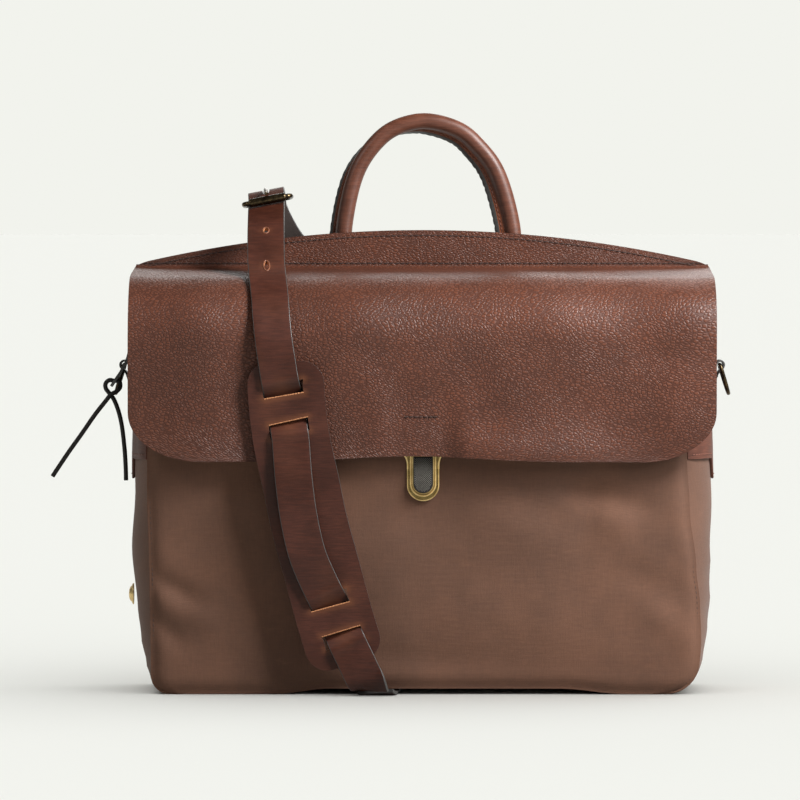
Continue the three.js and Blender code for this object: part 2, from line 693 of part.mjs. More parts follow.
// The lace's two legs, each from its side of the tail's hole to its free end.
const LACE_LONG = [
  [-206.4, -14, 208.9],
  [-203.7, -14.2, 208],
  [-203.2, -15, 204.6],
  [-205.4, -16.2, 201.8],
  [-209.2, -17.1, 199.6],
  [-213, -17.3, 195],
  [-219.8, -17, 186.4],
  [-229, -16.4, 173.2],
  [-238, -16, 160.6],
  [-245, -15.7, 150.2],
  [-248.8, -15.5, 144.4],
];
const LACE_SHORT = [
  [-207.2, -14, 208.6],
  [-210.4, -13.9, 209.2],
  [-213, -13.7, 207],
  [-213, -13.4, 203.8],
  [-210.8, -13.2, 200.6],
  [-207.9, -13.1, 196.8],
  [-204.8, -13, 189.4],
  [-202.4, -13, 179.6],
  [-200.4, -13, 163],
  [-199.6, -13, 150],
  [-199.4, -13, 141.6],
];

// ---------------------------------------------------------------- shoulder strap
// Middle of the strap where it lies in front of the pad and where it lies behind it.
const STRAP_OVER = PAD.y - 2.9;
const STRAP_UNDER = PAD.y + 2.8;

// The front run, from the tongue's tip over the buckle, down over the flap, in and out of the
// pad's slots and on to the floor.
const STRAP_FRONT = [
  [-105.2, 66.6, 325.5],
  [-105.7, 64.4, 331],
  [-106.2, 60.6, 335.4],
  [-106.4, 55.6, 336.8],
  [-106.2, 50, 335],
  [-105.9, 44, 331.6],
  [-105.8, 38.4, 327.8],
  [-105.8, 33, 325],
  [-105.8, 27, 320.6],
  [-105.6, 10, 309],
  [-105.2, -8, 297.4],
  [-104.5, -25, 286.8],
  [-103.2, -41.5, 277.4],
  [-101.6, -56, 266.2],
  [-100.3, -66.2, 252],
  [-98.8, -71.6, 238],
  [-97, STRAP_OVER, 226],
  [-94.9, STRAP_OVER, 212.6],
  [-94.2, STRAP_OVER, 209],
  [-92.6, STRAP_UNDER, 201],
  [-91.8, STRAP_UNDER, 197],
  [-90, STRAP_UNDER, 187],
  [-89.2, STRAP_UNDER, 183],
  [-88, STRAP_OVER, 175],
  [-87.4, STRAP_OVER, 171],
  [-85.6, STRAP_OVER - 2, 148],
  [-82, STRAP_OVER - 2.6, 120],
  [-76, STRAP_OVER - 1.6, 94],
  [-66.6, STRAP_OVER, 72],
  [-64.6, STRAP_OVER, 68],
  [-60.6, STRAP_UNDER, 60],
  [-58.8, STRAP_UNDER, 56],
  [-55.2, STRAP_UNDER, 47.6],
  [-53.4, STRAP_UNDER, 43.6],
  [-49.6, STRAP_OVER, 35.6],
  [-47.6, STRAP_OVER, 31.4],
  [-43.8, STRAP_OVER - 0.4, 23.6],
  [-39.8, STRAP_OVER, 15],
  [-36, STRAP_OVER + 2.6, 8.4],
  [-32.4, STRAP_OVER + 7.6, 3.6],
];

// The back run hangs behind the bag and ends in a fold round the upper hook's eye.
const HOOKS = { x: -26, y: 65, upperZ: 122, lowerZ: 51.4, foldRadius: 3.4 };
const STRAP_BACK = [
  [-92.4, 64.6, 312],
  [-88.4, 67.6, 304],
  [-84, 69.4, 296],
  [-78.4, 69.6, 282],
  [-72, 69, 262],
  [-61, 67.6, 230],
  [-47, 66, 190],
  [-35, 64, 156],
  [-28, 62, 134],
  ...foldRound(HOOKS.upperZ, 1),
];

// The run under the bag comes in from the front, turns up behind it and ends in a fold round the
// lower hook's eye.
const STRAP_FLOOR = [
  [-29, -58, 1.5],
  [-27.6, -34, 1.5],
  [-26.6, 0, 1.5],
  [-26, 34, 1.5],
  [-26, 52, 1.7],
  [-26, 58.6, 3.6],
  [-26, 62, 8.6],
  [-26, 62.4, 16],
  [-26, 61.8, 38],
  ...foldRound(HOOKS.lowerZ, -1),
];

// The strap's end, folded back on itself round an eye's bar and laid against its own run.
function foldRound(z, down) {
  const r = HOOKS.foldRadius;
  const turn = span(0, 180, 4).map((a) => [
    HOOKS.x,
    HOOKS.y - r * Math.cos(rad(a)),
    z - down * r * Math.sin(rad(a)),
  ]);
  return [...turn, [HOOKS.x, HOOKS.y + r, z + down * 16]];
}

// The front run's width direction: tipped at the buckle, level over the top, square to the run and
// in the flap's plane down the front, and turning out at the floor.
const frontAcross = (curve) => (t) => {
  const tip = rad(BUCKLE.lean) * (1 - smooth(0.1, 0.2, t));
  const tangent = curve.getTangentAt(t);
  const down = V(-tangent.z, 0, tangent.x).normalize();
  const across = V(Math.cos(tip), 0, Math.sin(tip)).lerp(down, smooth(0.25, 0.4, t));
  return across.lerp(V(0.81, -0.59, 0), smooth(0.965, 1, t));
};

const alongX = () => V(1, 0, 0);

// Turns and moves a geometry made in the XY plane to lie on a curve at t, with its X across it.
function layOn(curve, t, across, geometry) {
  const tangent = curve.getTangentAt(t);
  const side = across(t).clone();
  side.addScaledVector(tangent, -side.dot(tangent)).normalize();
  const frame = new THREE.Matrix4().makeBasis(side, tangent, side.clone().cross(tangent));
  return geometry.applyMatrix4(frame.setPosition(curve.getPointAt(t)));
}

// Where a curve comes down to a height, past its start.
function whereHeightIs(curve, z) {
  return span(0.1, 1, 600).find((t) => curve.getPointAt(t).z < z);
}

function strap() {
  const front = route(STRAP_FRONT);
  const across = frontAcross(front);
  const hole = (t, half) => layOn(front, t, across, box([-2, -half, -4], [2, half, 4]));
  const holes = [
    hole(0.0395, 8.5),
    hole(whereHeightIs(front, 309), 3),
    hole(whereHeightIs(front, 285.4), 5.5),
  ];
  add('strap_front', cut(ribbon(front, across, STRAP.width, STRAP.thickness), ...holes), leather(COLOUR.smooth));
  const back = route(STRAP_BACK);
  add('strap_back', ribbon(back, alongX, STRAP.width, STRAP.thickness), leather(COLOUR.smooth));
  const floor = route(STRAP_FLOOR);
  add('strap_floor', ribbon(floor, alongX, STRAP.width, STRAP.thickness), leather(COLOUR.smooth));
  const loop = cut(box([-15.8, -4.5, -3.8], [15.8, 4.5, 3.8]), box([-13.8, -6, -2], [13.8, 6, 2]));
  add('strap_keeper', layOn(back, 0.12, alongX, loop), leather(COLOUR.smooth));
}

// ---------------------------------------------------------------- shoulder pad
// Middle line of the shoulder pad, and each slot's place and lean.
const PAD_LINE = [
  [-91, 0, 223],
  [-90.2, 0, 200],
  [-87, 0, 172],
  [-80.6, 0, 142],
  [-75, 0, 115],
  [-66.6, 0, 84],
  [-58, 0, 52],
  [-48.4, 0, 21],
];
const PAD_SLOTS = [
  [-93.4, 205, 11],
  [-88.6, 179, 9],
  [-62.6, 64, 26],
  [-51.6, 39.6, 25],
];

function shoulderPad() {
  const curve = route(PAD_LINE);
  const surface = (u, t) => {
    const clamped = THREE.MathUtils.clamp(t, 0, 1);
    const tangent = curve.getTangentAt(clamped);
    const side = V(-tangent.z, 0, tangent.x);
    const end = Math.min(clamped, 1 - clamped) * PAD.length;
    const corner = 15;
    const inset = end < corner ? corner - Math.sqrt(corner ** 2 - (corner - end) ** 2) : 0;
    const p = curve.getPointAt(clamped).addScaledVector(tangent, (t - clamped) * PAD.length);
    p.addScaledVector(side, u * (PAD.width / 2 - inset));
    p.y = PAD.y;
    return p;
  };
  const ends = [0, 0.008, 0.03, 0.07];
  const rows = [...ends, ...span(0.12, 0.88, 10), ...ends.map((t) => 1 - t).reverse()];
  const slots = PAD_SLOTS.map(([x, z, lean]) => {
    const slot = box([-PAD.slotWidth / 2, -3, -PAD.slotHeight / 2], [PAD.slotWidth / 2, 3, PAD.slotHeight / 2]);
    return slot.rotateY(rad(-lean)).translate(x, PAD.y, z);
  });
  add('shoulder_pad', cut(sheet(surface, [-1, 1], rows, PAD.thickness), ...slots), leather(COLOUR.smooth));
}

// ---------------------------------------------------------------- buckle
// The frame's front bar carries the roller; the prong turns on its rear bar.
const BUCKLE = { x: -105.2, lean: 11, frontY: 33, frontZ: 330.5, rearY: 57.4, rearZ: 329.5, half: 16.6 };

// A closed rounded rectangle from one corner to the other, with its sides along the given axes.
function roundedLoop(half, low, high, corner, point) {
  const curve = new THREE.CurvePath();
  const corners = [[half, high], [half, low], [-half, low], [-half, high]];
  corners.forEach(([x, z], i) => {
    const [beforeX, beforeZ] = corners[(i + 3) % 4];
    const [nextX, nextZ] = corners[(i + 1) % 4];
    const towards = (tx, tz) => point(x + corner * Math.sign(tx - x), z + corner * Math.sign(tz - z));
    const leave = point(nextX - corner * Math.sign(nextX - x), nextZ - corner * Math.sign(nextZ - z));
    curve.add(new THREE.QuadraticBezierCurve3(towards(beforeX, beforeZ), point(x, z), towards(nextX, nextZ)));
    curve.add(new THREE.LineCurve3(towards(nextX, nextZ), leave));
  });
  return curve;
}

function buckle() {
  const { half } = BUCKLE;
  const depth = Math.hypot(BUCKLE.rearY - BUCKLE.frontY, BUCKLE.rearZ - BUCKLE.frontZ);
  const pitch = Math.atan2(BUCKLE.rearZ - BUCKLE.frontZ, BUCKLE.rearY - BUCKLE.frontY);
  const place = (g) => {
    g.rotateX(pitch);
    g.rotateY(rad(-BUCKLE.lean));
    return g.translate(BUCKLE.x, BUCKLE.frontY, BUCKLE.frontZ);
  };
  const frame = wireRing(roundedLoop(half, 0, depth, 3, (x, y) => V(x, y, 0)), 1.6, 30, 6);
  add('buckle_frame', place(frame), metal(COLOUR.antique));

  const sleeve = new THREE.Shape(circle(2.8, 12));
  sleeve.holes.push(new THREE.Path(circle(1.95, 8)));
  const roller = new THREE.ExtrudeGeometry(sleeve, { depth: 25, bevelEnabled: false });
  roller.translate(0, 0, -12.5).rotateY(Math.PI / 2);
  add('buckle_roller', place(closed(roller)), metal(COLOUR.antique));

  const eyeOutline = new THREE.Shape(circle(3.4, 12));
  eyeOutline.holes.push(new THREE.Path(circle(1.95, 8)));
  const eye = new THREE.ExtrudeGeometry(eyeOutline, { depth: 3, bevelEnabled: false });
  eye.translate(0, 0, -1.5).rotateY(Math.PI / 2).translate(0, depth, 0);
  const prongCurve = route([[0, depth - 2.4, 1.6], [0, depth - 5.4, 6.2], [0, 13, 9.6], [0, 5.4, 6.8], [0, -1.2, 4.5]]);
  add('buckle_prong', place(join(closed(eye), rod(prongCurve, 1.2, 9, 8))), metal(COLOUR.antique));
}

// ---------------------------------------------------------------- snap hooks on the strap's ends
// Built hanging from a bar at the origin, its hook swivelled by turn, then placed.
function snapHook(name, turn, place) {
  const low = -9;
  const upright = (radius, z1, z2) => {
    const g = new THREE.CylinderGeometry(radius, radius, z2 - z1, 10).rotateX(Math.PI / 2);
    return g.translate(0, 0, (z1 + z2) / 2);
  };
  const loop = wireRing(roundedLoop(15.4, low, 0, 3, (x, z) => V(x, 0, z)), 1.5, 28, 6);
  const eye = cut(join(loop, upright(3.6, low - 3.4, low + 1.6)), upright(1.9, low - 8, low + 5));
  add(`${name}_eye`, place(eye), metal(COLOUR.antique));

  const bow = rod(route([
    [0, 0, low - 7],
    [-3.6, 0, low - 11],
    [-6.4, 0, low - 16],
    [-6.4, 0, low - 23],
    [-3, 0, low - 28],
    [2.4, 0, low - 28.4],
    [6, 0, low - 25],
    [6.6, 0, low - 21.4],
  ]), 1.7, 14, 6);
  const shank = upright(1.4, low - 8, low + 3);
  const hook = join(shank, upright(2.7, low + 2, low + 3.2), upright(3.6, low - 9, low - 3.8), bow);
  add(`${name}_hook`, place(hook.rotateZ(turn)), metal(COLOUR.antique));

  const gate = rod(route([[4.4, 0, low - 10.4], [5.6, 0, low - 14.6], [6.4, 0, low - 19.2]]), 1.2, 3, 6);
  add(`${name}_gate`, place(gate.rotateZ(turn)), metal(COLOUR.antique));
}

// The upper hook hangs from the back run, and the lower one stands up through its bow.
function snapHooks() {
  snapHook('snap_upper', 0, (g) => g.translate(HOOKS.x, HOOKS.y, HOOKS.upperZ));
  snapHook('snap_lower', Math.PI / 2, (g) => g.rotateX(Math.PI).translate(HOOKS.x, HOOKS.y, HOOKS.lowerZ));
}

// ---------------------------------------------------------------- the whole bag
bodyPanels();
gusset();
gussetLeather();
sideRings();
sideStud();
flap();
crest();
handle();
lock();
flapCatch();
zip();
zipTail();
strap();
shoulderPad();
buckle();
snapHooks();

export default bag;
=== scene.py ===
"""A full-flap satchel bag: pebbled flap, waxed canvas body, push lock and a strap woven through a pad.

Pieces are laid out in millimetres in the CAD frame and made in metres.
The front faces -Y, +X is to the viewer's right and the bag stands on z = 0.
"""

import math

import bmesh
import bpy
import numpy as np
from mathutils import Matrix, Vector, noise


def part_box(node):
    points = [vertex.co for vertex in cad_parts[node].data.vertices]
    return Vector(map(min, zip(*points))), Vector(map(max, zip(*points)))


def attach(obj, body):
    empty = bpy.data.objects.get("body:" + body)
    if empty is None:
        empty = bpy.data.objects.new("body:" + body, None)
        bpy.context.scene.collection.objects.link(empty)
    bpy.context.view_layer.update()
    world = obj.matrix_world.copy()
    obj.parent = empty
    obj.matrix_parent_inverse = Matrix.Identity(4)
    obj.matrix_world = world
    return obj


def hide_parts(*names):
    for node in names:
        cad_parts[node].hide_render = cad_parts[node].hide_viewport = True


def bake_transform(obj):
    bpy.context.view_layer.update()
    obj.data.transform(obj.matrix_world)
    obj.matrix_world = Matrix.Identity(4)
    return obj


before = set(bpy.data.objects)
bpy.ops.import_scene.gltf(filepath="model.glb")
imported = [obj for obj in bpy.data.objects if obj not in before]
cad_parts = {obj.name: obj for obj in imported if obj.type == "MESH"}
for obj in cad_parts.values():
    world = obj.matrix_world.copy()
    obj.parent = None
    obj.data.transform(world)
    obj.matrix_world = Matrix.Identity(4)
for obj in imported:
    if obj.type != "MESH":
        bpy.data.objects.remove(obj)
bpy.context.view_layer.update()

MM = 0.001
SIDES = ((-1, "left"), (1, "right"))


# ---------------------------------------------------------------- numbers and curves
def V(x, y, z):
    return np.array((x, y, z), float)


FRONT = V(0, -1, 0)
BACK = V(0, 1, 0)


def unit(v):
    return v / max(np.linalg.norm(v), 1e-9)


def lerp(a, b, t):
    return a + (b - a) * t


def smooth(low, high, x):
    t = min(max((x - low) / (high - low), 0.0), 1.0)
    return t * t * (3 - 2 * t)


def plateau(start, full, end, gone, x):
    """Rises from 0 at start to 1 at full, then falls from 1 at end to 0 at gone."""
    return smooth(start, full, x) * (1 - smooth(end, gone, x))


def cut_in(r, low):
    """How far a round corner of radius r takes an edge in, at a distance low from its end."""
    return r - math.sqrt(max(r ** 2 - (r - low) ** 2, 0)) if low < r else 0


def span(low, high, steps):
    return [low + (high - low) * i / steps for i in range(steps + 1)]


def mirrored(steps, *extra):
    """Even steps from -1 to 1 with extra values on both sides."""
    return sorted({*span(-1, 1, steps), *extra, *(-e for e in extra)})


def between(x, table):
    """A value read off a short table of (x, value) pairs with rounded steps."""
    if x <= table[0][0]:
        return table[0][1]
    for (x0, y0), (x1, y1) in zip(table, table[1:]):
        if x <= x1:
            return lerp(y0, y1, smooth(x0, x1, x))
    return table[-1][1]


def wobble(x, y, z, size, seed=0.0):
    """Smooth noise of about -1 to 1 whose lumps are about size millimetres wide."""
    return noise.noise(Vector((x / size + seed, y / size, z / size)))


def circle(sides):
    turns = [2 * math.pi * i / sides for i in range(sides)]
    return [(math.cos(a), math.sin(a)) for a in turns]


def arc(cx, cz, r, start, end, steps):
    turns = [math.radians(a) for a in span(start, end, steps)]
    return [(cx + r * math.cos(a), cz + r * math.sin(a)) for a in turns]


def round_box(x0, x1, z0, z1, r, steps):
    """A box with round corners, from its upper right corner anticlockwise."""
    corners = ((x1 - r, z1 - r), (x0 + r, z1 - r), (x0 + r, z0 + r), (x1 - r, z0 + r))
    return [p for k, (x, z) in enumerate(corners) for p in arc(x, z, r, 90 * k, 90 * k + 90, steps)]


class Path:
    """A smooth curve through points, read by its share of the length."""

    def __init__(self, points, closed=False, per_span=24):
        pts = [V(*p) for p in points]
        if closed:
            ring = [pts[-1], *pts, pts[0], pts[1]]
        else:
            ring = [2 * pts[0] - pts[1], *pts, 2 * pts[-1] - pts[-2]]
        line = []
        for k in range(len(ring) - 3):
            line += [self._point(ring[k:k + 4], i / per_span) for i in range(per_span)]
        line.append(pts[0] if closed else pts[-1])
        self.line = np.array(line)
        self.lengths = run_lengths(self.line)
        self.length = self.lengths[-1]

    @staticmethod
    def _point(p, u):
        """Centripetal Catmull-Rom between p[1] and p[2]."""
        t = [0.0]
        for a, b in zip(p, p[1:]):
            t.append(t[-1] + max(np.linalg.norm(b - a), 1e-6) ** 0.5)
        x = lerp(t[1], t[2], u)
        a = [((t[i + 1] - x) * p[i] + (x - t[i]) * p[i + 1]) / (t[i + 1] - t[i]) for i in range(3)]
        b = [((t[i + 2] - x) * a[i] + (x - t[i]) * a[i + 1]) / (t[i + 2] - t[i]) for i in range(2)]
        return ((t[2] - x) * b[0] + (x - t[1]) * b[1]) / (t[2] - t[1])

    def at(self, share):
        return read_line(self.line, self.lengths, min(max(share, 0.0), 1.0) * self.length)

    def tangent(self, share):
        e = 0.4 / self.length
        return unit(self.at(min(share + e, 1.0)) - self.at(max(share - e, 0.0)))


def run_lengths(line):
    return np.concatenate([[0], np.cumsum(np.linalg.norm(np.diff(line, axis=0), axis=1))])


def read_line(line, lengths, s):
    return np.array([np.interp(s, lengths, line[:, i]) for i in range(3)])


# ---------------------------------------------------------------- camera, light and floor
CAMERA_DISTANCE = 4500
CAMERA_ELEVATION = 1.6
PICTURE_WIDTH = 532.6  # what the camera takes in across the front of the flap
AIM = Vector((-14.7, -64, 197.2))
BACKDROP = (0.888, 0.896, 0.846)
BEHIND_CAMERA = 0.13
FADE = (0.5, 0.98)  # where the surroundings turn from dim to pale, from the camera's side to the far side
FLOOR_ALBEDO = 0.85
FLOOR_RADIUS = 90  # metres
SUN = {"toward": (0.36, -0.25, 0.9), "strength": 3.07, "spread": 130}
# Each lamp's name, place, target, size in millimetres and power in watts.
LAMPS = [
    ("key", (680, -480, 940), (60, -40, 150), 380, 30),
    ("right_fill", (800, -560, 520), (130, -60, 150), 380, 6),
    ("left_fill", (-820, -500, 900), (-150, -40, 240), 300, 2),
    ("back_fill", (200, 1500, 900), (0, 0, 180), 900, 6),
]


def link(obj):
    bpy.context.scene.collection.objects.link(obj)
    return obj


def look_at(obj, target):
    obj.rotation_euler = (Vector(target) * MM - obj.location).to_track_quat("-Z", "Y").to_euler()


def make_camera():
    data = bpy.data.cameras.new("camera")
    camera = link(bpy.data.objects.new("camera", data))
    tilt = math.radians(CAMERA_ELEVATION)
    back = Vector((0, -math.cos(tilt), math.sin(tilt))) * CAMERA_DISTANCE
    camera.location = (Vector((0, AIM.y, AIM.z)) + back) * MM
    look_at(camera, AIM)
    data.lens = data.sensor_width * CAMERA_DISTANCE / PICTURE_WIDTH
    data.clip_end = 200
    bpy.context.scene.camera = camera


def light_only(light, floor, state):
    """Leaves the floor out of what a light reaches, or makes it the only thing that is reached."""
    reached = bpy.data.collections.new(f"{light.name}_floor")
    reached.objects.link(floor)
    light.light_linking.receiver_collection = reached
    reached.collection_objects[0].light_linking.link_state = state


def softbox(name, place, target, size, power, floor):
    """A square studio lamp that lights the bag and leaves the floor even."""
    data = bpy.data.lights.new(name, "AREA")
    data.size = size * MM
    data.energy = power
    light = link(bpy.data.objects.new(name, data))
    light.location = Vector(place) * MM
    look_at(light, target)
    light_only(light, floor, "EXCLUDE")


def floor_sun(floor):
    """Broad light on the floor alone, which casts the bag's soft shadow."""
    data = bpy.data.lights.new("floor_sun", "SUN")
    data.energy = SUN["strength"]
    data.angle = math.radians(SUN["spread"])
    light = link(bpy.data.objects.new("floor_sun", data))
    light.rotation_euler = Vector(SUN["toward"]).to_track_quat("Z", "Y").to_euler()
    light_only(light, floor, "INCLUDE")


def make_world():
    """Surroundings that are pale behind the bag and dim on the side that the camera stands."""
    world = bpy.data.worlds.new("studio")
    bpy.context.scene.world = world
    world.use_nodes = True
    nodes, links = world.node_tree.nodes, world.node_tree.links
    background = nodes["Background"]
    background.inputs["Color"].default_value = (*BACKDROP, 1)
    place = nodes.new("ShaderNodeTexCoord")
    parts = nodes.new("ShaderNodeSeparateXYZ")
    share = nodes.new("ShaderNodeMapRange")
    share.inputs["From Min"].default_value, share.inputs["From Max"].default_value = FADE
    share.inputs["To Min"].default_value = BEHIND_CAMERA
    share.inputs["To Max"].default_value = 1.0
    links.new(place.outputs["Generated"], parts.inputs[0])
    links.new(parts.outputs["Y"], share.inputs["Value"])
    links.new(share.outputs[0], background.inputs["Strength"])


def make_floor():
    """A wide pale disc that takes the bag's soft shadow."""
    sides = 96
    rim = [(FLOOR_RADIUS * x, FLOOR_RADIUS * y, 0) for x, y in circle(sides)]
    mesh = bpy.data.meshes.new("floor")
    mesh.from_pydata(rim, [], [tuple(range(sides))])
    material = bpy.data.materials.new("floor")
    material.use_nodes = True
    pale = material.node_tree.nodes["Principled BSDF"]
    pale.inputs["Base Color"].default_value = (FLOOR_ALBEDO, FLOOR_ALBEDO * 1.008, FLOOR_ALBEDO * 0.965, 1)
    pale.inputs["Roughness"].default_value = 1.0
    pale.inputs["Specular IOR Level"].default_value = 0.0
    mesh.materials.append(material)
    floor = link(bpy.data.objects.new("floor", mesh))
    return floor


def make_studio():
    make_camera()
    floor = make_floor()
    make_world()
    floor_sun(floor)
    for lamp in LAMPS:
        softbox(*lamp, floor)
    bpy.context.scene.view_settings.view_transform = "Standard"
    bpy.context.scene.view_settings.look = "None"


# ---------------------------------------------------------------- materials
class Shader:
    """A material's nodes, with short calls to add and join them."""

    def __init__(self, name, space="Object"):
        self.material = bpy.data.materials.new(name)
        self.material.use_nodes = True
        self.tree = self.material.node_tree
        self.main = self.tree.nodes["Principled BSDF"]
        place = self.tree.nodes.new("ShaderNodeTexCoord")
        self.mm = self.node("Mapping", {"Vector": place.outputs[space], "Scale": (1000, 1000, 1000)})

    def node(self, kind, inputs=None, **settings):
        made = self.tree.nodes.new("ShaderNode" + kind)
        for key, value in settings.items():
            setattr(made, key, value)
        for key, value in (inputs or {}).items():
            self.set(made.inputs[key], value)
        return made

    def set(self, socket, value):
        if isinstance(value, bpy.types.Node):
            self.tree.links.new(value.outputs[0], socket)
        elif isinstance(value, bpy.types.NodeSocket):
            self.tree.links.new(value, socket)
        else:
            socket.default_value = value

    def finish(self, **values):
        for key, value in values.items():
            self.set(self.main.inputs[key.replace("_", " ")], value)
        return self.material

    def scaled(self, x, y, z, turn=0.0):
        """The surface's millimetres stretched by each axis's own scale."""
        return self.node("Mapping", {"Vector": self.mm, "Scale": (x, y, z), "Rotation": (0, turn, turn)})

    def noise(self, vector, scale, detail=3.0, roughness=0.55):
        inputs = {"Vector": vector, "Scale": scale, "Detail": detail, "Roughness": roughness}
        return self.node("TexNoise", inputs)

    def ramp(self, value, low, high, to_low=0.0, to_high=1.0):
        inputs = {"Value": value, "From Min": low, "From Max": high, "To Min": to_low, "To Max": to_high}
        return self.node("MapRange", inputs, interpolation_type="SMOOTHSTEP")

    def math(self, operation, a, b):
        return self.node("Math", {0: a, 1: b}, operation=operation)

    def times(self, a, b):
        return self.math("MULTIPLY", a, b)

    def plus(self, a, b):
        return self.math("ADD", a, b)

    def mix(self, share, a, b, blend="MIX"):
        """A colour mix; a and b are colours or nodes."""
        a, b = ((*c[:3], 1) if isinstance(c, tuple) else c for c in (a, b))
        return self.node("Mix", {0: share, 6: a, 7: b}, data_type="RGBA", blend_type=blend).outputs[2]

    def around(self, value, low, high, color, less, more):
        """A colour that varies with a value from a darker share of it to a lighter one."""
        return self.mix(self.ramp(value, low, high), shade(color, less), shade(color, more))

    def bump(self, height, depth, strength=1.0):
        return self.node("Bump", {"Height": height, "Distance": depth * MM, "Strength": strength})


def shade(color, share):
    return tuple(c * share for c in color)


def pebble_leather(name, color, space="Object"):
    """Grain of small raised pebbles, drawn out along the hide, with dark creases between them."""
    s = Shader(name, space)
    drift = s.noise(s.mm, 0.02, 1.0)
    push = s.node("VectorMath", {0: drift.outputs["Color"], 1: (14, 14, 14)}, operation="MULTIPLY")
    bent = s.node("VectorMath", {0: s.mm, 1: push}, operation="ADD")
    lie = s.node("Mapping", {"Vector": bent, "Scale": (0.36, 0.56, 0.56), "Rotation": (0.2, 0.2, 0.3)})
    cells = s.node("TexVoronoi", {"Vector": lie, "Scale": 1.0, "Randomness": 0.9}, feature="DISTANCE_TO_EDGE")
    pebble = s.ramp(cells.outputs["Distance"], 0.0, 0.3)
    fine = s.noise(s.mm, 1.5, 3.0)
    patch = s.noise(s.mm, 0.022, 4.0)
    height = s.plus(pebble, s.times(fine, 0.45))
    tone = s.around(patch, 0.3, 0.72, color, 0.86, 1.14)
    crease = s.mix(pebble, (0.6, 0.54, 0.5), (1.12, 1.11, 1.1))
    return s.finish(
        Base_Color=s.mix(1.0, tone, crease, "MULTIPLY"),
        Roughness=s.ramp(height, 0.4, 1.3, 0.52, 0.38),
        Specular_IOR_Level=0.3,
        Normal=s.bump(height, 0.19, 1.0),
    )


def smooth_leather(name, color, worn, rough=0.45, gloss=0.28, space="Object"):
    """Oiled leather with fine cross creases, drawn lighter where the piece's wear is painted."""
    s = Shader(name, space)
    streaks = s.noise(s.scaled(0.1, 0.1, 1.1), 1.0, 4.0, 0.6)
    pores = s.noise(s.mm, 2.4, 2.0)
    patch = s.noise(s.mm, 0.03, 5.0, 0.6)
    tone = s.around(patch, 0.3, 0.7, color, 0.8, 1.2)
    lined = s.mix(s.ramp(streaks, 0.35, 0.7), (0.78, 0.74, 0.72), (1.18, 1.16, 1.14))
    base = s.mix(1.0, tone, lined, "MULTIPLY")
    wear = s.node("Attribute", attribute_name="wear")
    touched = s.times(wear.outputs["Fac"], s.ramp(pores, 0.2, 0.75, 0.6, 1.0))
    height = s.plus(s.times(streaks, 0.7), s.times(pores, 0.5))
    return s.finish(
        Base_Color=s.mix(touched, base, worn),
        Roughness=s.ramp(patch, 0.25, 0.75, rough - 0.08, rough + 0.1),
        Specular_IOR_Level=gloss,
        Normal=s.bump(height, 0.1, 0.8),
    )


def waxed_canvas(name, color):
    """Plain weave of fine threads, softly mottled, with the pale scuffs that waxed cloth keeps."""
    s = Shader(name)
    thread = 2 * math.pi / 0.8
    parts = s.node("SeparateXYZ", {0: s.mm})
    waves = [s.math("SINE", s.times(parts.outputs[i], thread), 0.0) for i in range(3)]
    weave = s.times(s.plus(waves[0], waves[1]), waves[2])
    across = s.noise(s.scaled(0.11, 0.11, 1.3), 1.0, 2.0, 0.65)
    along = s.noise(s.scaled(1.3, 1.3, 0.11), 1.0, 2.0, 0.65)
    slubs = s.plus(across, along)
    patch = s.noise(s.mm, 0.014, 5.0, 0.6)
    scuffs = s.ramp(s.noise(s.scaled(0.035, 0.035, 0.13, 0.5), 1.0, 8.0, 0.72), 0.56, 0.8)
    tone = s.around(patch, 0.3, 0.7, color, 0.84, 1.14)
    threads = s.mix(s.ramp(slubs, 0.75, 1.25), (0.94, 0.94, 0.94), (1.06, 1.055, 1.05))
    cloth = s.mix(1.0, tone, threads, "MULTIPLY")
    return s.finish(
        Base_Color=s.mix(s.times(scuffs, 0.2), cloth, shade(color, 2.4)),
        Roughness=s.ramp(patch, 0.3, 0.7, 0.7, 0.82),
        Specular_IOR_Level=0.25,
        Sheen_Weight=0.08,
        Sheen_Roughness=0.5,
        Normal=s.bump(s.plus(s.times(weave, 0.5), slubs), 0.07, 0.7),
    )


def metal(name, color, dark, rough):
    """Aged metal, darker in patches, with faint rubbed scratches."""
    s = Shader(name)
    patch = s.noise(s.mm, 0.22, 4.0, 0.6)
    rub = s.noise(s.scaled(0.4, 0.4, 5.0), 1.0, 3.0)
    return s.finish(
        Base_Color=s.mix(s.ramp(patch, 0.35, 0.68), dark, color),
        Metallic=1.0,
        Roughness=s.ramp(rub, 0.3, 0.75, rough - 0.08, rough + 0.12),
        Normal=s.bump(rub, 0.015, 0.6),
    )


def plain(name, color, rough, grain=1.2, depth=0.08, contrast=0.25):
    """Edge paint, thread, board or lining: one colour broken up by fine grain."""
    s = Shader(name)
    speck = s.noise(s.mm, grain, 4.0, 0.6)
    return s.finish(
        Base_Color=s.around(speck, 0.3, 0.7, color, 1 - contrast, 1 + contrast),
        Roughness=s.ramp(speck, 0.25, 0.75, rough - 0.08, rough + 0.08),
        Normal=s.bump(speck, depth, 0.8),
    )


FLAP_BROWN = (0.082, 0.027, 0.0145)
STRAP_BROWN = (0.043, 0.0115, 0.006)
HANDLE_BROWN = (0.075, 0.024, 0.013)
CANVAS_BROWN = (0.095, 0.044, 0.026)
TAN = (0.24, 0.085, 0.03)

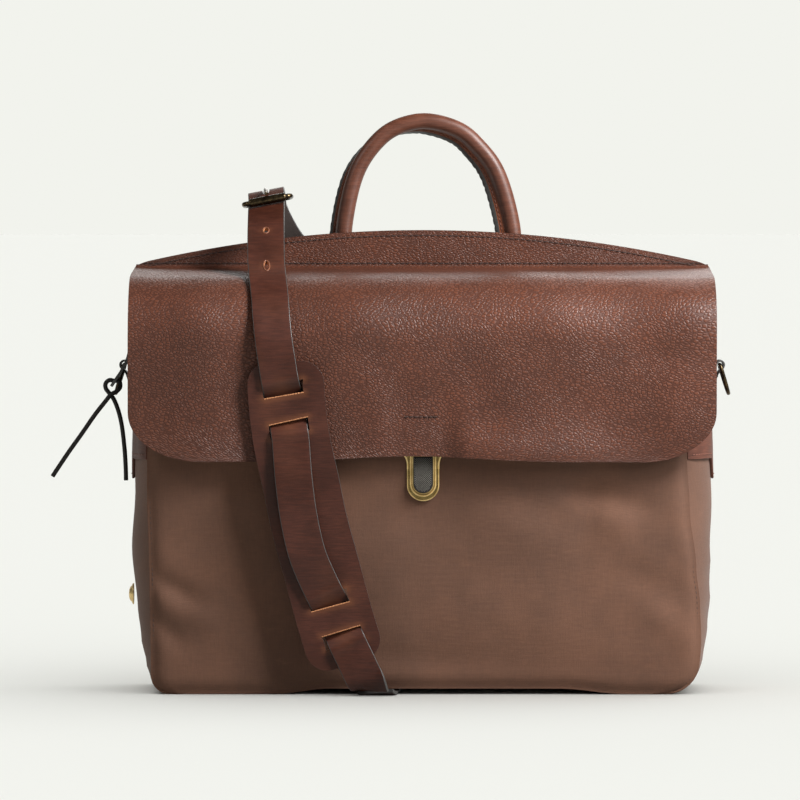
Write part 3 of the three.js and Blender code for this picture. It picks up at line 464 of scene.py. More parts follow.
MAT = {
    "pebble": pebble_leather("pebble_leather", FLAP_BROWN),
    "pebble_flat": pebble_leather("pebble_leather_flap", FLAP_BROWN, "UV"),
    "strap": smooth_leather("strap_leather", STRAP_BROWN, TAN),
    "strap_flat": smooth_leather("strap_leather_bent", STRAP_BROWN, TAN, space="UV"),
    "handle": smooth_leather("handle_leather", HANDLE_BROWN, TAN, 0.42, 0.4),
    "flange": smooth_leather("handle_sewn_edge", (0.13, 0.036, 0.014), TAN, 0.45),
    "gusset": smooth_leather("gusset_leather", (0.075, 0.026, 0.016), TAN, 0.55),
    "black": smooth_leather("black_leather", (0.012, 0.01, 0.009), (0.03, 0.025, 0.02), 0.5),
    "canvas": waxed_canvas("waxed_canvas", CANVAS_BROWN),
    "lining": waxed_canvas("lining_cloth", (0.05, 0.034, 0.024)),
    "tape": waxed_canvas("zip_tape", (0.035, 0.02, 0.014)),
    "paint": plain("edge_paint", (0.032, 0.03, 0.028), 0.4, 0.9, 0.1),
    "flesh": plain("leather_back", (0.02, 0.012, 0.009), 0.85, 2.0, 0.15),
    "raw": plain("raw_cut", (0.36, 0.15, 0.06), 0.7, 2.4, 0.12),
    "lip": plain("punched_lip", (0.16, 0.055, 0.025), 0.5, 2.4, 0.1),
    "thread": plain("thread", (0.03, 0.013, 0.009), 0.55, 3.5, 0.05),
    "red_thread": plain("red_thread", (0.12, 0.04, 0.024), 0.55, 3.5, 0.05),
    # near-black: painted shade for needle holes and for the grooves between the lock thumb's knurl pyramids
    "pit_shade": plain("painted_pit_shade", (0.005181517, 0.00303527, 0.002428216), 0.8),
    "board": plain("leatherboard", (0.042311411, 0.02842604, 0.019382361), 0.85, 0.8, 0.1),
    "brass": metal("brass", (0.85, 0.64, 0.3), (0.6, 0.43, 0.18), 0.36),
    # a darker copy of brass: painted shade for the dark gaps between the lock's rims
    "brass_painted_shade": metal("brass_painted_shade", (0.3, 0.22, 0.09), (0.2, 0.14, 0.05), 0.3),
    "antique": metal("antique_brass", (0.1, 0.07, 0.035), (0.025, 0.019, 0.012), 0.3),
    "steel": metal("knurled_steel", (0.21, 0.2, 0.17), (0.15, 0.14, 0.12), 0.4),
}
HIDE = ["pebble_flat", "paint", "flesh"]
STRAP = ["strap", "paint", "flesh"]
BLACK_LEAF = ["black", "paint", "black"]
CANVAS = ["canvas", "canvas", "lining"]
ANTIQUE = ["antique"]
RED_SEAM = ("red_thread", "pit_shade")


# ---------------------------------------------------------------- mesh helpers
def build(name, points, faces, materials, slots=None, uv=None, angle=38):
    """A piece from points in millimetres. uv gives each point its place on the flat hide."""
    mesh = bpy.data.meshes.new(name)
    mesh.from_pydata([tuple(float(c) * MM for c in p) for p in points], [], faces)
    for m in materials:
        mesh.materials.append(MAT[m])
    if slots is not None:
        mesh.polygons.foreach_set("material_index", slots)
    mesh.polygons.foreach_set("use_smooth", [True] * len(mesh.polygons))
    mesh.set_sharp_from_angle(angle=math.radians(angle))
    if uv is not None:
        layer = mesh.uv_layers.new(name="hide")
        for loop in mesh.loops:
            layer.data[loop.index].uv = tuple(c * MM for c in uv[loop.vertex_index])
    return link(bpy.data.objects.new(name, mesh))


def lattice(columns, rows, skip=None, wrap=False):
    """Quads over a lattice of points that runs along columns first."""
    faces = []
    for j in range(rows - 1):
        for i in range(columns if wrap else columns - 1):
            if skip and skip(i, j):
                continue
            k = (i + 1) % columns
            faces.append((j * columns + i, j * columns + k, (j + 1) * columns + k, (j + 1) * columns + i))
    return faces


def shell(sides, rows, closed=False):
    """Quads round a rod, whose ends are capped or, in a ring, joined."""
    last = (rows - 1) * sides
    if closed:
        ends = [(last + i, last + (i + 1) % sides, (i + 1) % sides, i) for i in range(sides)]
    else:
        ends = [tuple(reversed(range(sides))), tuple(last + i for i in range(sides))]
    return lattice(sides, rows, wrap=True) + ends


def soften(obj, width, segments=2, angle=50):
    bevel = obj.modifiers.new("edge", "BEVEL")
    bevel.width = width * MM
    bevel.segments = segments
    bevel.limit_method = "ANGLE"
    bevel.angle_limit = math.radians(angle)
    bevel.use_clamp_overlap = True
    obj.modifiers.new("normals", "WEIGHTED_NORMAL").keep_sharp = True
    return obj


def thicken(obj, thickness, rim=0.4):
    """Gives a sheet its thickness with softened edges. Its materials are its face, edge and back."""
    solid = obj.modifiers.new("thickness", "SOLIDIFY")
    solid.thickness = thickness * MM
    solid.offset = 0
    last = len(obj.data.materials) - 1
    solid.material_offset_rim = min(1, last)
    solid.material_offset = 2 if last > 1 else 0
    soften(obj, rim).modifiers["edge"].material = min(1, last)
    return obj


def sheet(name, surface, us, vs, thickness, materials, skip=None, uv=None, rim=0.4, flip=False):
    points = [surface(u, v) for v in vs for u in us]
    flat = [uv(u, v) for v in vs for u in us] if uv else None
    obj = build(name, points, lattice(len(us), len(vs), skip), materials, uv=flat)
    thicken(obj, thickness, rim)
    if flip:
        for polygon in obj.data.polygons:
            polygon.flip()
    return obj


def paint_wear(obj, amount):
    """Stores how worn each point is, from 0 to 1; amount takes a point in millimetres."""
    layer = obj.data.attributes.new("wear", "FLOAT", "POINT")
    layer.data.foreach_set("value", [float(amount(v.co / MM)) for v in obj.data.vertices])


def tube(name, path, radius, steps, sides, materials=ANTIQUE, up=None, closed=False):
    """A round rod or ring. radius is a number or a function of the share of the length."""
    shares = span(0, 1, steps)[:-1] if closed else span(0, 1, steps)
    points = []
    side = unit(np.cross(path.tangent(0), up if up is not None else V(0.3, 0.9, 0.2)))
    for t in shares:
        ahead = path.tangent(t)
        if closed:
            e = 0.4 / path.length
            ahead = unit(path.at((t + e) % 1) - path.at((t - e) % 1))
        side = unit(np.cross(ahead, up)) if up is not None else unit(side - ahead * side.dot(ahead))
        other = np.cross(ahead, side)
        size = radius(t) if callable(radius) else radius
        points += [path.at(t) + size * (c * side + s * other) for c, s in circle(sides)]
    return build(name, points, shell(sides, len(shares), closed), materials)


def ring(name, points, radius, steps, sides, materials=ANTIQUE, up=None, per_span=6):
    path = Path(points, closed=True, per_span=per_span)
    return tube(name, path, radius, steps, sides, materials, up, closed=True)


def lathe(name, profile, place, axis, materials, sides):
    """Turns (radius, height) pairs about an axis through place."""
    turn = Vector((0, 0, 1)).rotation_difference(Vector(axis)).to_matrix()
    points = []
    for r, h in profile:
        points += [np.array(turn @ Vector((r * c, r * s, h))) + V(*place) for c, s in circle(sides)]
    return build(name, points, shell(sides, len(profile)), materials)


def prism(name, outline, y_front, y_back, materials, edge=0.3, segments=3):
    """A plate cut to an outline in X and Z, between two values of y, with softened edges."""
    n = len(outline)
    points = [V(x, y, z) for y in (y_front, y_back) for x, z in outline]
    faces = [tuple(range(n)), tuple(reversed(range(n, 2 * n)))]
    faces += [(i, n + i, n + (i + 1) % n, (i + 1) % n) for i in range(n)]
    obj = build(name, points, faces, materials)
    recalculate(obj)
    return soften(obj, edge, segments, 40)


def recalculate(obj):
    work = bmesh.new()
    work.from_mesh(obj.data)
    bmesh.ops.recalc_face_normals(work, faces=work.faces)
    work.to_mesh(obj.data)
    work.free()


def finish(obj, body, slot, *nodes):
    """Sets what a piece rides on and hides the CAD nodes that it stands for; slot is not used."""
    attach(obj, body)
    if nodes:
        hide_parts(*nodes)


def finish_cad(material, *nodes):
    """Gives CAD nodes that are kept their finished material."""
    for node in nodes:
        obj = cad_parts[node]
        obj.data.materials.clear()
        obj.data.materials.append(MAT[material])


# Along a stitch's thread: its share of the stitch's length and its share of the thread's thickness.
THREAD_RINGS = [(-0.5, 0.3), (-0.42, 0.8), (-0.2, 1.0), (0.2, 1.0), (0.42, 0.8), (0.5, 0.3)]
THREAD_SIDES = 6
THREAD_FACES = shell(THREAD_SIDES, len(THREAD_RINGS))
PIT_SIDES = 8
STITCH_SLANT = 0.1


def stitch(name, line, out, body, slot, colors=("thread", "pit_shade"), pitch=3.1, thick=0.36, lift=0.12):
    """A row of sewn stitches along points; out is the outward direction there, or gives it for a point."""
    line = np.array(line)
    lengths = run_lengths(line)
    count = max(int(lengths[-1] / pitch), 1)
    long = pitch * 0.74
    points, faces, slots = [], [], []
    for k in range(count):
        middle = (k + 0.5) * lengths[-1] / count
        p = read_line(line, lengths, middle)
        ahead = unit(read_line(line, lengths, middle + 0.3) - read_line(line, lengths, middle - 0.3))
        up = unit(out(p) if callable(out) else out)
        ahead = unit(ahead + STITCH_SLANT * unit(np.cross(up, ahead)))
        side = unit(np.cross(up, ahead))
        faces += [tuple(len(points) + v for v in f) for f in THREAD_FACES]
        slots += [0] * len(THREAD_FACES)
        for share, size in THREAD_RINGS:
            centre = p + ahead * long * share + up * (lift + thick * 0.4 * (size - 1))
            points += [centre + thick * size * (c * side + 0.8 * s * up) for c, s in circle(THREAD_SIDES)]
        # At each stitch end a small near-black sunk cone: painted shade of the needle hole.
        for end in (-0.5, 0.5):
            base = len(points)
            hole = p + ahead * long * end * 1.12 + up * 0.03
            for c, s in circle(PIT_SIDES):
                points.append(hole + 0.62 * thick * (1.5 * c * ahead + 1.35 * s * side))
            points.append(hole - up * 0.25)
            faces += [(base + i, base + (i + 1) % PIT_SIDES, base + PIT_SIDES) for i in range(PIT_SIDES)]
            slots += [1] * PIT_SIDES
    finish(build(name, points, faces, list(colors), slots), body, slot)


# ---------------------------------------------------------------- zip lace
LACE_RADIUS = 1.5
LACES = {
    "lace_long": [
        (-206.4, -14, 208.9), (-203.7, -14.2, 208), (-203.2, -15, 204.6), (-205.4, -16.2, 201.8),
        (-209.2, -17.1, 199.6), (-213, -17.3, 195), (-219.8, -17, 186.4), (-229, -16.4, 173.2),
        (-238, -16, 160.6), (-245, -15.7, 150.2), (-248.8, -15.5, 144.4),
    ],
    "lace_short": [
        (-207.2, -14, 208.6), (-210.4, -13.9, 209.2), (-213, -13.7, 207), (-213, -13.4, 203.8),
        (-210.8, -13.2, 200.6), (-207.9, -13.1, 196.8), (-204.8, -13, 189.4), (-202.4, -13, 179.6),
        (-200.4, -13, 163), (-199.6, -13, 150), (-199.4, -13, 141.6),
    ],
}


def laces():
    for name, points in LACES.items():
        path = Path(points)
        obj = tube(f"{name}_cord", path, LACE_RADIUS, 120, 14, ["black"])
        finish(obj, "zip_tail", "black_leather", name)
        route = [path.at(t) * MM for t in span(0, 1, 90)]


# ---------------------------------------------------------------- canvas body
BODY_TOP = 245
FRONT_Y = -52.6
BACK_Y = 52.2
CANVAS_THICK = 1.5
PANEL_FOOT = [0, 0.8, 2, 3.6, 5.5, 8]
ARCH_HEIGHT = 3.6
ARCH_REACH = (-98, -62, 92, 136)
# Each side's seam half-width by height, its round bottom corner and how far its gusset swells by height.
BODY_SIDES = {
    -1: {
        "seam": [(0, 181), (45, 181.4), (75, 182), (140, 183.6), (245, 181)],
        "corner": 12,
        "swell": [(0, 0), (9, 1.2), (18, 4.6), (36, 8.2), (56, 10.4), (95, 13), (140, 9.6), (245, 11)],
    },
    1: {
        "seam": [(0, 184), (38, 186.4), (60, 185.6), (85, 183), (125, 178.6), (160, 176.6), (245, 178)],
        "corner": 22,
        "swell": [(0, 0), (10, 1.4), (24, 3.6), (45, 6), (64, 8.4), (90, 11.6), (125, 16.4), (160, 17.2),
                  (245, 15)],
    },
}
# Folds in the front panel: from one point to another, how wide, and how deep it goes in.
FOLDS = [
    ((96, 142), (150, 126), 11, 3.4),
    ((118, 120), (140, 116), 20, -1.6),
    ((-182, 80), (-150, 61), 7, 2.6),
    ((-178, 66), (-140, 48), 10, -1.8),
    ((-180, 52), (-160, 32), 6, 1.5),
    ((20, 60), (120, 38), 26, -1.4),
    ((-60, 20), (60, 12), 16, 1.2),
    ((40, 118), (96, 98), 18, -1.3),
    ((130, 84), (176, 64), 12, 1.1),
    ((150, 60), (182, 30), 9, -1.0),
    ((-120, 120), (-150, 96), 14, 1.0),
    ((-60, 128), (20, 120), 22, 1.3),
]


def arch(x):
    """How far the bag's bottom edge rises off the ground."""
    return ARCH_HEIGHT * plateau(*ARCH_REACH, x)


def seam_x(side, z):
    """Half-width of a panel at a height, with its round bottom corner."""
    shape = BODY_SIDES[-1 if side < 0 else 1]
    return between(z, shape["seam"]) - cut_in(shape["corner"], z)


def folds(x, z):
    depth = 0.0
    for (x0, z0), (x1, z1), width, amount in FOLDS:
        dx, dz = x1 - x0, z1 - z0
        t = ((x - x0) * dx + (z - z0) * dz) / (dx * dx + dz * dz)
        off = ((x - x0) * dz - (z - z0) * dx) / math.hypot(dx, dz)
        depth += amount * plateau(-0.35, 0.35, 0.65, 1.35, t) * math.exp(-(off / width) ** 2)
    return depth


def panel_swell(z, u, most):
    return most * math.sin(math.pi * min(z / BODY_TOP, 1)) * math.cos(u * math.pi / 2)


def on_arch(x, y, z):
    return V(x, y, z + arch(x) * (1 - smooth(0, 60, z)) + 0.4)


def front_point(u, z):
    x = u * seam_x(u, z)
    edge = smooth(0.0, 9.0, seam_x(u, z) - abs(x)) if abs(u) < 1 else 0.0
    calm = 1 - 0.8 * smooth(120, 170, z) * (1 - smooth(16, 34, abs(x)))
    ripple = 0.8 * wobble(x, 0, z, 46, 3.1) + 0.25 * wobble(x, 0, z, 17, 8.4)
    crumple = (folds(x, z) + ripple) * calm * plateau(0, 26, 196, 236, z)
    out = (crumple - panel_swell(z, u, 2.4) - 0.9) * edge
    return on_arch(x, FRONT_Y + out + 1.9 * (1 - edge) + 2.2 * (1 - smooth(0, 9, z)), z)


def back_point(u, z):
    width = seam_x(-u, min(z, BODY_TOP))
    x = -u * width
    edge = smooth(0, 9, width - abs(x))
    ripple = 0.7 * wobble(x, 9, z, 60, 5.5) * plateau(0, 30, 200, 235, z)
    out = (panel_swell(z, u, 1.2) + ripple) * edge
    return on_arch(x, BACK_Y + out - 1.9 * (1 - edge) - 2.2 * (1 - smooth(0, 9, z)), z)


def body_panels():
    us = mirrored(90, 0.97, 0.985, 0.995)
    vs = [*PANEL_FOOT, *span(11, BODY_TOP, 74)]
    front = sheet("canvas_front", front_point, us, vs, CANVAS_THICK, CANVAS, rim=0.5)
    finish(front, "bag", "canvas", "front_panel")
    vs = [*PANEL_FOOT, *span(11, 268, 50)]
    back = sheet("canvas_back", back_point, mirrored(50, 0.98, 0.995), vs, CANVAS_THICK, CANVAS, rim=0.5)
    finish(back, "bag", "canvas", "back_panel")


SIDE_SHARE = 0.85  # the share of a gusset's run that is its straight side; the rest is its bottom corner


def gusset_frame(side, k):
    """A point of the gusset's seam line, its outward direction and how far it bulges.

    k runs from 0 at the mouth to 1 where the bottom corner ends."""
    shape = BODY_SIDES[side]
    corner = shape["corner"]
    if k <= SIDE_SHARE:
        z = lerp(BODY_TOP, corner, k / SIDE_SHARE)
        return V(side * (seam_x(side, z) - 0.6), 0, z), V(side, 0, 0), between(z, shape["swell"])
    a = math.radians(90 * (k - SIDE_SHARE) / (1 - SIDE_SHARE))
    r = corner - 0.6
    centre_x = between(corner, shape["seam"]) - corner
    p = V(side * (centre_x + r * math.cos(a)), 0, corner - r * math.sin(a) + 0.3)
    out = V(side * math.cos(a), 0, -math.sin(a))
    return p, out, between(corner, shape["swell"]) * (1 - math.sin(a)) ** 1.5


def gusset_y(v):
    return lerp(FRONT_Y + 1.7, BACK_Y - 1.9, v)


def gusset_point(side, k, v, lift=0.0):
    p, out, bulge = gusset_frame(side, k)
    y = gusset_y(v)
    round_off = 1 - abs(2 * v - 1) ** 2.6
    crumple = 0.7 * wobble(p[0], y, p[2], 38, 2.2) * round_off * smooth(0, 40, p[2])
    return V(p[0], y, p[2]) + out * (bulge * round_off + crumple + lift)


def floor_point(x, v):
    middle = 1 - abs(2 * v - 1) ** 3
    return V(x, gusset_y(v), 1.0 + arch(x) - 0.2 * middle * (1 - arch(x) / ARCH_HEIGHT))


def body_gusset():
    """One strip down the left side, under the bag and up the right side."""
    down = span(0, SIDE_SHARE, 44)[:-1] + span(SIDE_SHARE, 1, 10)
    across = span(0, 1, 26)
    ends = [gusset_point(side, 1, 0)[0] for side in (-1, 1)]
    points = [gusset_point(-1, k, v) for k in down for v in across]
    points += [floor_point(x, v) for x in span(*ends, 62)[1:-1] for v in across]
    points += [gusset_point(1, k, v) for k in reversed(down) for v in across]
    faces = lattice(len(across), len(points) // len(across))
    finish(thicken(build("canvas_gusset", points, faces, CANVAS), CANVAS_THICK), "bag", "canvas", "gusset")


def seam_rows():
    """The stitched grooves where the panels meet the gusset."""
    for side, label in SIDES:
        low = 150 if side < 0 else 118
        line = [front_point(side, z) + V(-side * 1.9, -0.9, 0) for z in span(low, 4, 60)]
        stitch(f"seam_{label}", line, FRONT, "bag", "canvas", pitch=3.4, thick=0.34, lift=0.0)
    for side, label in SIDES:
        line = [back_point(-side, z) + V(-side * 1.9, 0.9, 0) for z in span(225, 4, 80)]
        stitch(f"back_seam_{label}", line, BACK, "bag", "canvas", pitch=3.4, thick=0.34, lift=0.0)


def base_board():
    low, high = (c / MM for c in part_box("base_board"))
    outline = round_box(low.x, high.x, low.y, high.y, 8, 6)
    obj = prism("base_board_cover", outline, 0, high.z - low.z, ["lining"], 0.5)
    obj.data.transform(Matrix(((1, 0, 0, 0), (0, 0, 1, 0), (0, 1, 0, low.z * MM), (0, 0, 0, 1))))
    recalculate(obj)
    finish(obj, "bag", "leatherboard", "base_board")


# ---------------------------------------------------------------- leather on the gussets
TAB_EDGE = (0.3, 0.37, 0.63, 0.7)
TAB_ROWS = ((0.02, 0.3), (0.37, 0.63), (0.7, 0.98))


def tab_foot(v):
    """How low the leather reaches, which is lower in its middle tab."""
    return 157 - 14 * plateau(*TAB_EDGE, v)


def gusset_leather():
    """Smooth leather over each gusset's top, longer in a tab at its middle, with a sewn lower edge."""
    for side, label in SIDES:
        def at_height(z, v, lift):
            k = SIDE_SHARE * (BODY_TOP - z) / (BODY_TOP - BODY_SIDES[side]["corner"])
            return gusset_point(side, k, v, lift)

        def surface(v, t):
            lift = 0.9 + plateau(0, 0.07, 0.93, 1, v)
            return at_height(lerp(BODY_TOP, tab_foot(v), t), v, lift)

        across = sorted({*span(0.0, 1.0, 24), 0.33, 0.67, *TAB_EDGE}, reverse=side > 0)
        obj = sheet(f"gusset_leather_{label}_hide", surface, across, span(0, 1, 26), 1.7,
                    ["gusset", "gusset", "flesh"], rim=0.35)
        finish(obj, "bag", "pebble_leather", f"gusset_leather_{label}")
        for row, (first, last) in enumerate(TAB_ROWS):
            line = [at_height(tab_foot(v) + 3.2, v, 2.8) for v in span(first, last, 16)]
            stitch(f"gusset_stitch_{label}_{row}", line, V(side, 0, 0), "bag", "pebble_leather", RED_SEAM,
                   3.0, 0.34)


# ---------------------------------------------------------------- rings and stud
RING = {"z": 219, "y": 7, "bar": 201.2, "wire": 1.3, "half": 10, "drop": 20, "tilt": 17}
LOOP_LEAF = [
    (195.6, 197), (195.8, 204), (196.6, 212), (198.2, 219.6), (200.4, 221.9), (202.8, 221.4),
    (203.9, 219.4), (203.2, 217.2), (201.2, 215.4), (199.2, 212.4), (197.9, 207), (197.5, 198),
]


def d_rings():
    half, drop = RING["half"], RING["drop"]
    bend = [(half, -1.5), (half, -6), (half - 0.6, -11), (half - 3.6, -16.6), (3, 0.3 - drop)]
    outline = [(1.5 - half, 0), (0, 0), (half - 1.5, 0), *bend, (0, -drop), *((-y, z) for y, z in bend[::-1])]
    lean = math.radians(RING["tilt"])
    for side, label in SIDES:
        points = [(side * (RING["bar"] - z * math.sin(lean)), RING["y"] + y, RING["z"] + z * math.cos(lean))
                  for y, z in outline]
        obj = ring(f"d_ring_{label}_wire", points, RING["wire"], 112, 14,
                   up=V(math.cos(lean), 0, side * math.sin(lean)), per_span=8)
        finish(obj, f"ring_{label}", "antique_brass", f"d_ring_{label}")
        ring_loop(side, label)


def ring_loop(side, label):
    """A leather leaf folded over the ring's bar and sewn down."""
    path = Path([(side * x, RING["y"], z) for x, z in LOOP_LEAF])

    def surface(u, t):
        taper = 7.5 - 1.5 * smooth(0.8, 1, abs(2 * t - 1))
        return path.at(t) + V(0, u * taper * side, 0)

    obj = sheet(f"ring_loop_{label}_leaf", surface, span(-1, 1, 4), span(0, 1, 44), 1.4, BLACK_LEAF, rim=0.3)
    finish(obj, "bag", "black_leather", f"ring_loop_{label}")
    line = [V(side * 199.7, y, 211.4) for y in span(RING["y"] - 6, RING["y"] + 6, 6)]
    stitch(f"ring_stitch_{label}", line, V(side, 0, 0), "bag", "black_leather", pitch=2.6, thick=0.3)


def stud():
    low, high = (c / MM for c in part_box("side_stud"))
    profile = [(0.01, -0.4), (7.2, -0.4), (7.2, 0.1), (6.9, 0.5), (6.2, 0.7), (5.6, 0.9), (4.8, 1.9),
               (3.4, 2.6), (1.8, 2.9), (0.01, 3.0)]
    place = (high.x, (low.y + high.y) / 2, (low.z + high.z) / 2)
    finish(lathe("side_stud_dome", profile, place, (-1, 0, 0), ["brass"], 40), "bag", "brass", "side_stud")


# ---------------------------------------------------------------- flap and crest
LOCK_X = 0.7
FLAP = {"half": 196, "thick": 2.6, "bottom": 155, "slope": 5, "bend": 42, "front": -63.6, "corner": (50, 34)}
HINGE = (46.5, 283)
HINGE_BEND = 3.6
CREST = {"half": 195, "apex": 310, "drop": 23, "y": 50.6}
CREST_RISE = 34.0
YOKE_Y = 54.7
YOKE_LOW = 232
YOKE_THICK = 2.2
# Soft bulges in the flap: x, height on the front, half-width, half-height and how far it stands out.
BULGES = [
    (-148, 252, 24, 19, 2.4),
    (-158, 196, 24, 34, 1.3),
    (-50, 257, 24, 16, 2.2),
    (100, 250, 30, 16, 1.0),
    (178, 258, 24, 20, 3.8),
    (168, 205, 26, 30, 1.8),
    (118, 182, 26, 24, -1.6),
    (72, 157, 54, 18, 4.6),
    (-150, 158, 40, 18, 1.8),
]


def crest_top(x):
    end = 5 * smooth(0.975, 1.0, abs(x) / CREST["half"])
    return CREST["apex"] - CREST["drop"] * (x / CREST["half"]) ** 2 - end


def flap_section():
    """The flap's slope, its bend's radius and centre, and the lengths of its top, bend and front."""
    slope, r = math.radians(FLAP["slope"]), FLAP["bend"]
    bend_y = FLAP["front"] + r
    top = (HINGE[0] - (bend_y - r * math.sin(slope))) / math.cos(slope)
    bend_z = HINGE[1] - top * math.sin(slope) - r * math.cos(slope)
    return slope, r, bend_y, bend_z, top, r * (math.pi / 2 - slope), bend_z - FLAP["bottom"]


SECTION = flap_section()
FLAP_LENGTH = sum(SECTION[4:])


def flap_half(above):
    width, height = FLAP["corner"]
    t = max(1 - above / height, 0.0)
    return FLAP["half"] - width * (1 - math.sqrt(max(1 - t * t, 0.0)))


def flap_line(s):
    """The flap's middle line in Y and Z, and its turn from level, a distance s from the hinge."""
    slope, r, bend_y, bend_z, top, bend, _ = SECTION
    if s <= top:
        return HINGE[0] - s * math.cos(slope), HINGE[1] - s * math.sin(slope), slope
    if s <= top + bend:
        a = slope + (s - top) / r
        return bend_y - r * math.sin(a), bend_z + r * math.cos(a), a
    return FLAP["front"], bend_z - (s - top - bend), math.pi / 2


def flap_point(u, s):
    """A point of the flap, with the soft swells that a thick hide keeps; u runs from -1 to 1."""
    y, z, a = flap_line(s)
    x = u * flap_half(FLAP_LENGTH - s)
    above = FLAP_LENGTH - s + FLAP["bottom"]
    swell = 1.5 + 1.7 * wobble(x, 0, s, 88, 4.7) + 0.7 * wobble(x, 0, s, 36, 1.3)
    for cx, cz, wide, tall, amount in BULGES:
        swell += amount * math.exp(-((x - cx) / wide) ** 2 - ((above - cz) / tall) ** 2)
    over_catch = 1 - 0.9 * smooth(150, 172, s) * (1 - smooth(14, 30, abs(x)))
    under_strap = 1 - 0.85 * math.exp(-((x + 92 + (120 - s) * 0.1) / 34) ** 2)
    lift = max(swell, 0.0) * smooth(0, 70, s) * over_catch * under_strap
    edge = 0.8 + 0.9 * wobble(x, 5, 0, 60, 7.7) + 3.8 * math.exp(-((x + 5) / 62) ** 2)
    rise = edge * smooth(FLAP_LENGTH - 30, FLAP_LENGTH, s)
    return V(x, y - lift * math.sin(a), z + lift * math.cos(a) + rise)


def hide_point(u, s):
    """The whole hide: crest above the hinge for s < 0, flap below it for s > 0."""
    bend = HINGE_BEND
    foot = HINGE[1] + bend * 0.8
    if s >= bend:
        return flap_point(u, s)
    if s <= -bend:
        x = u * CREST["half"]
        z = lerp(foot, max(crest_top(x), HINGE[1] + bend), (s + bend) / (bend - CREST_RISE))
        return V(x, CREST["y"] - 0.7, z)
    x = u * lerp(CREST["half"], FLAP["half"], smooth(-bend, bend, s))
    start = V(x, CREST["y"] - 0.7, foot)
    corner = V(x, CREST["y"] - 0.9, HINGE[1] + 0.4)
    end = V(x, *flap_line(bend)[:2])
    w = (s + bend) / (2 * bend)
    return (1 - w) ** 2 * start + 2 * w * (1 - w) * corner + w ** 2 * end


def flap_and_crest():
    """One hide from the crest's arch over the hinge to the flap's lower edge."""
    height = FLAP["corner"][1]
    crest = span(-CREST_RISE, -HINGE_BEND, 18)
    hinge = span(-HINGE_BEND, HINGE_BEND, 10)[1:]
    body = span(HINGE_BEND, FLAP_LENGTH - height, 60)[1:]
    corner = [FLAP_LENGTH - height * (1 - math.sin(math.radians(a))) for a in span(0, 88, 18)][1:]
    rows = crest + hinge + body + corner
    obj = sheet("flap_hide", hide_point, mirrored(96, 0.99, 0.997), rows, FLAP["thick"], HIDE,
                uv=lambda u, s: (u * FLAP["half"], -s), rim=0.5, flip=True)
    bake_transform(obj)
    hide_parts("flap", "crest_front")


def crest_stitches():
    """The sewn rows along the crest's arch, along the hinge and over the catch tab."""
    y = CREST["y"] - 2.05
    line = [V(x, y, crest_top(x) - 3.6) for x in span(-188, 188, 120)]
    stitch("crest_arch_stitches", line, FRONT, "bag", "pebble_leather", pitch=3.8, thick=0.45)
    line = [V(x, y, HINGE[1] + 4.4) for x in span(-190, 190, 60)]
    stitch("crest_hinge_stitches", line, FRONT, "bag", "pebble_leather", pitch=3.8, thick=0.45)
    row = FLAP_LENGTH - (186 - FLAP["bottom"])
    line = [flap_point(x / FLAP["half"], row) + V(0, -1.36, 0) for x in span(-12, 10.5, 12)]
    stitch("catch_stitches", line, FRONT, "flap", "pebble_leather", pitch=3.2, thick=0.5, lift=0.2)


def behind_crest(y, low, inset, under):
    """A flat surface that fills the crest's outline down to a height; u runs from -1 to 1 along X."""
    def surface(u, v):
        x = u * (CREST["half"] - inset)
        return V(x, y, lerp(low, crest_top(x) - under, v))

    return surface


def back_yoke():
    """The leather yoke behind the crest, with the stiffener's edge between the two hides."""
    obj = sheet("back_yoke_hide", behind_crest(YOKE_Y, YOKE_LOW, 0, 0.2), mirrored(60, 0.988, 0.996)[::-1],
                span(0, 1, 24), YOKE_THICK, ["pebble", "paint", "flesh"], rim=0.5)
    finish(obj, "bag", "pebble_leather", "back_yoke")
    face = YOKE_Y + YOKE_THICK / 2 + 0.05
    line = [V(x, face, crest_top(x) - 3.6) for x in span(188, -188, 120)]
    stitch("yoke_arch_stitches", line, BACK, "bag", "pebble_leather", pitch=3.3)
    line = [V(x, face, YOKE_LOW + 3.5) for x in span(190, -190, 60)]
    stitch("yoke_low_stitches", line, BACK, "bag", "pebble_leather", pitch=3.3)
    obj = sheet("crest_filler", behind_crest(52.6, 271, 1.2, 1.3), span(-1, 1, 60), span(0, 1, 4), 1.5,
                ["board", "paint"], rim=0.2)
    finish(obj, "bag", "leatherboard", "crest_stiffener")


# ---------------------------------------------------------------- handle
HANDLE_Y = 62.2
HANDLE_LINE = [
    (-53.5, 288), (-53.0, 313), (-44.5, 349.8), (-32.5, 368.6), (-19.5, 379.2), (1.6, 384.5),
    (25.6, 378.2), (38.6, 367.1), (50.6, 350.7), (61.6, 313), (62.6, 288),
]
HANDLE_RADIUS = 5.5
FLANGE_HALF = 1.9
FLANGE_REACH = 12.2
FLANGE_PAINT = 9.0
FLANGE_SEAM = 7.6
TAB = {"low": 235, "round": 246, "high": 284, "half": 11, "seam": 8.4}


def handle_frame(path, t):
    """A point of the handle's line, the way its sewn edges point and the way across them.

    They point left on the left foot, down and back at the top, and left on the right foot."""
    ahead = path.tangent(t)
    way = V(-0.85, 0.78 - 0.78 * smooth(0.5, 0.95, t), -0.66)
    out = unit(way - ahead * way.dot(ahead))
    return path.at(t), out, np.cross(ahead, out)


def handle_section():
    """The rolled tube with its two leather edges sewn together in a flange, as (out, across)."""
    r, half = HANDLE_RADIUS, FLANGE_HALF
    gap = math.degrees(math.asin(half / r)) + 12
    neck = [(r + 0.5, half + 0.25), (r + 1.6, half), (FLANGE_PAINT, half), (FLANGE_REACH - 0.4, half)]
    edge = [(FLANGE_REACH, -1.3), (FLANGE_REACH - 0.1, 0.0), (FLANGE_REACH, 1.3)]
    return arc(0, 0, r, gap, 360 - gap, 26) + [(a, -b) for a, b in neck] + edge + neck[::-1]


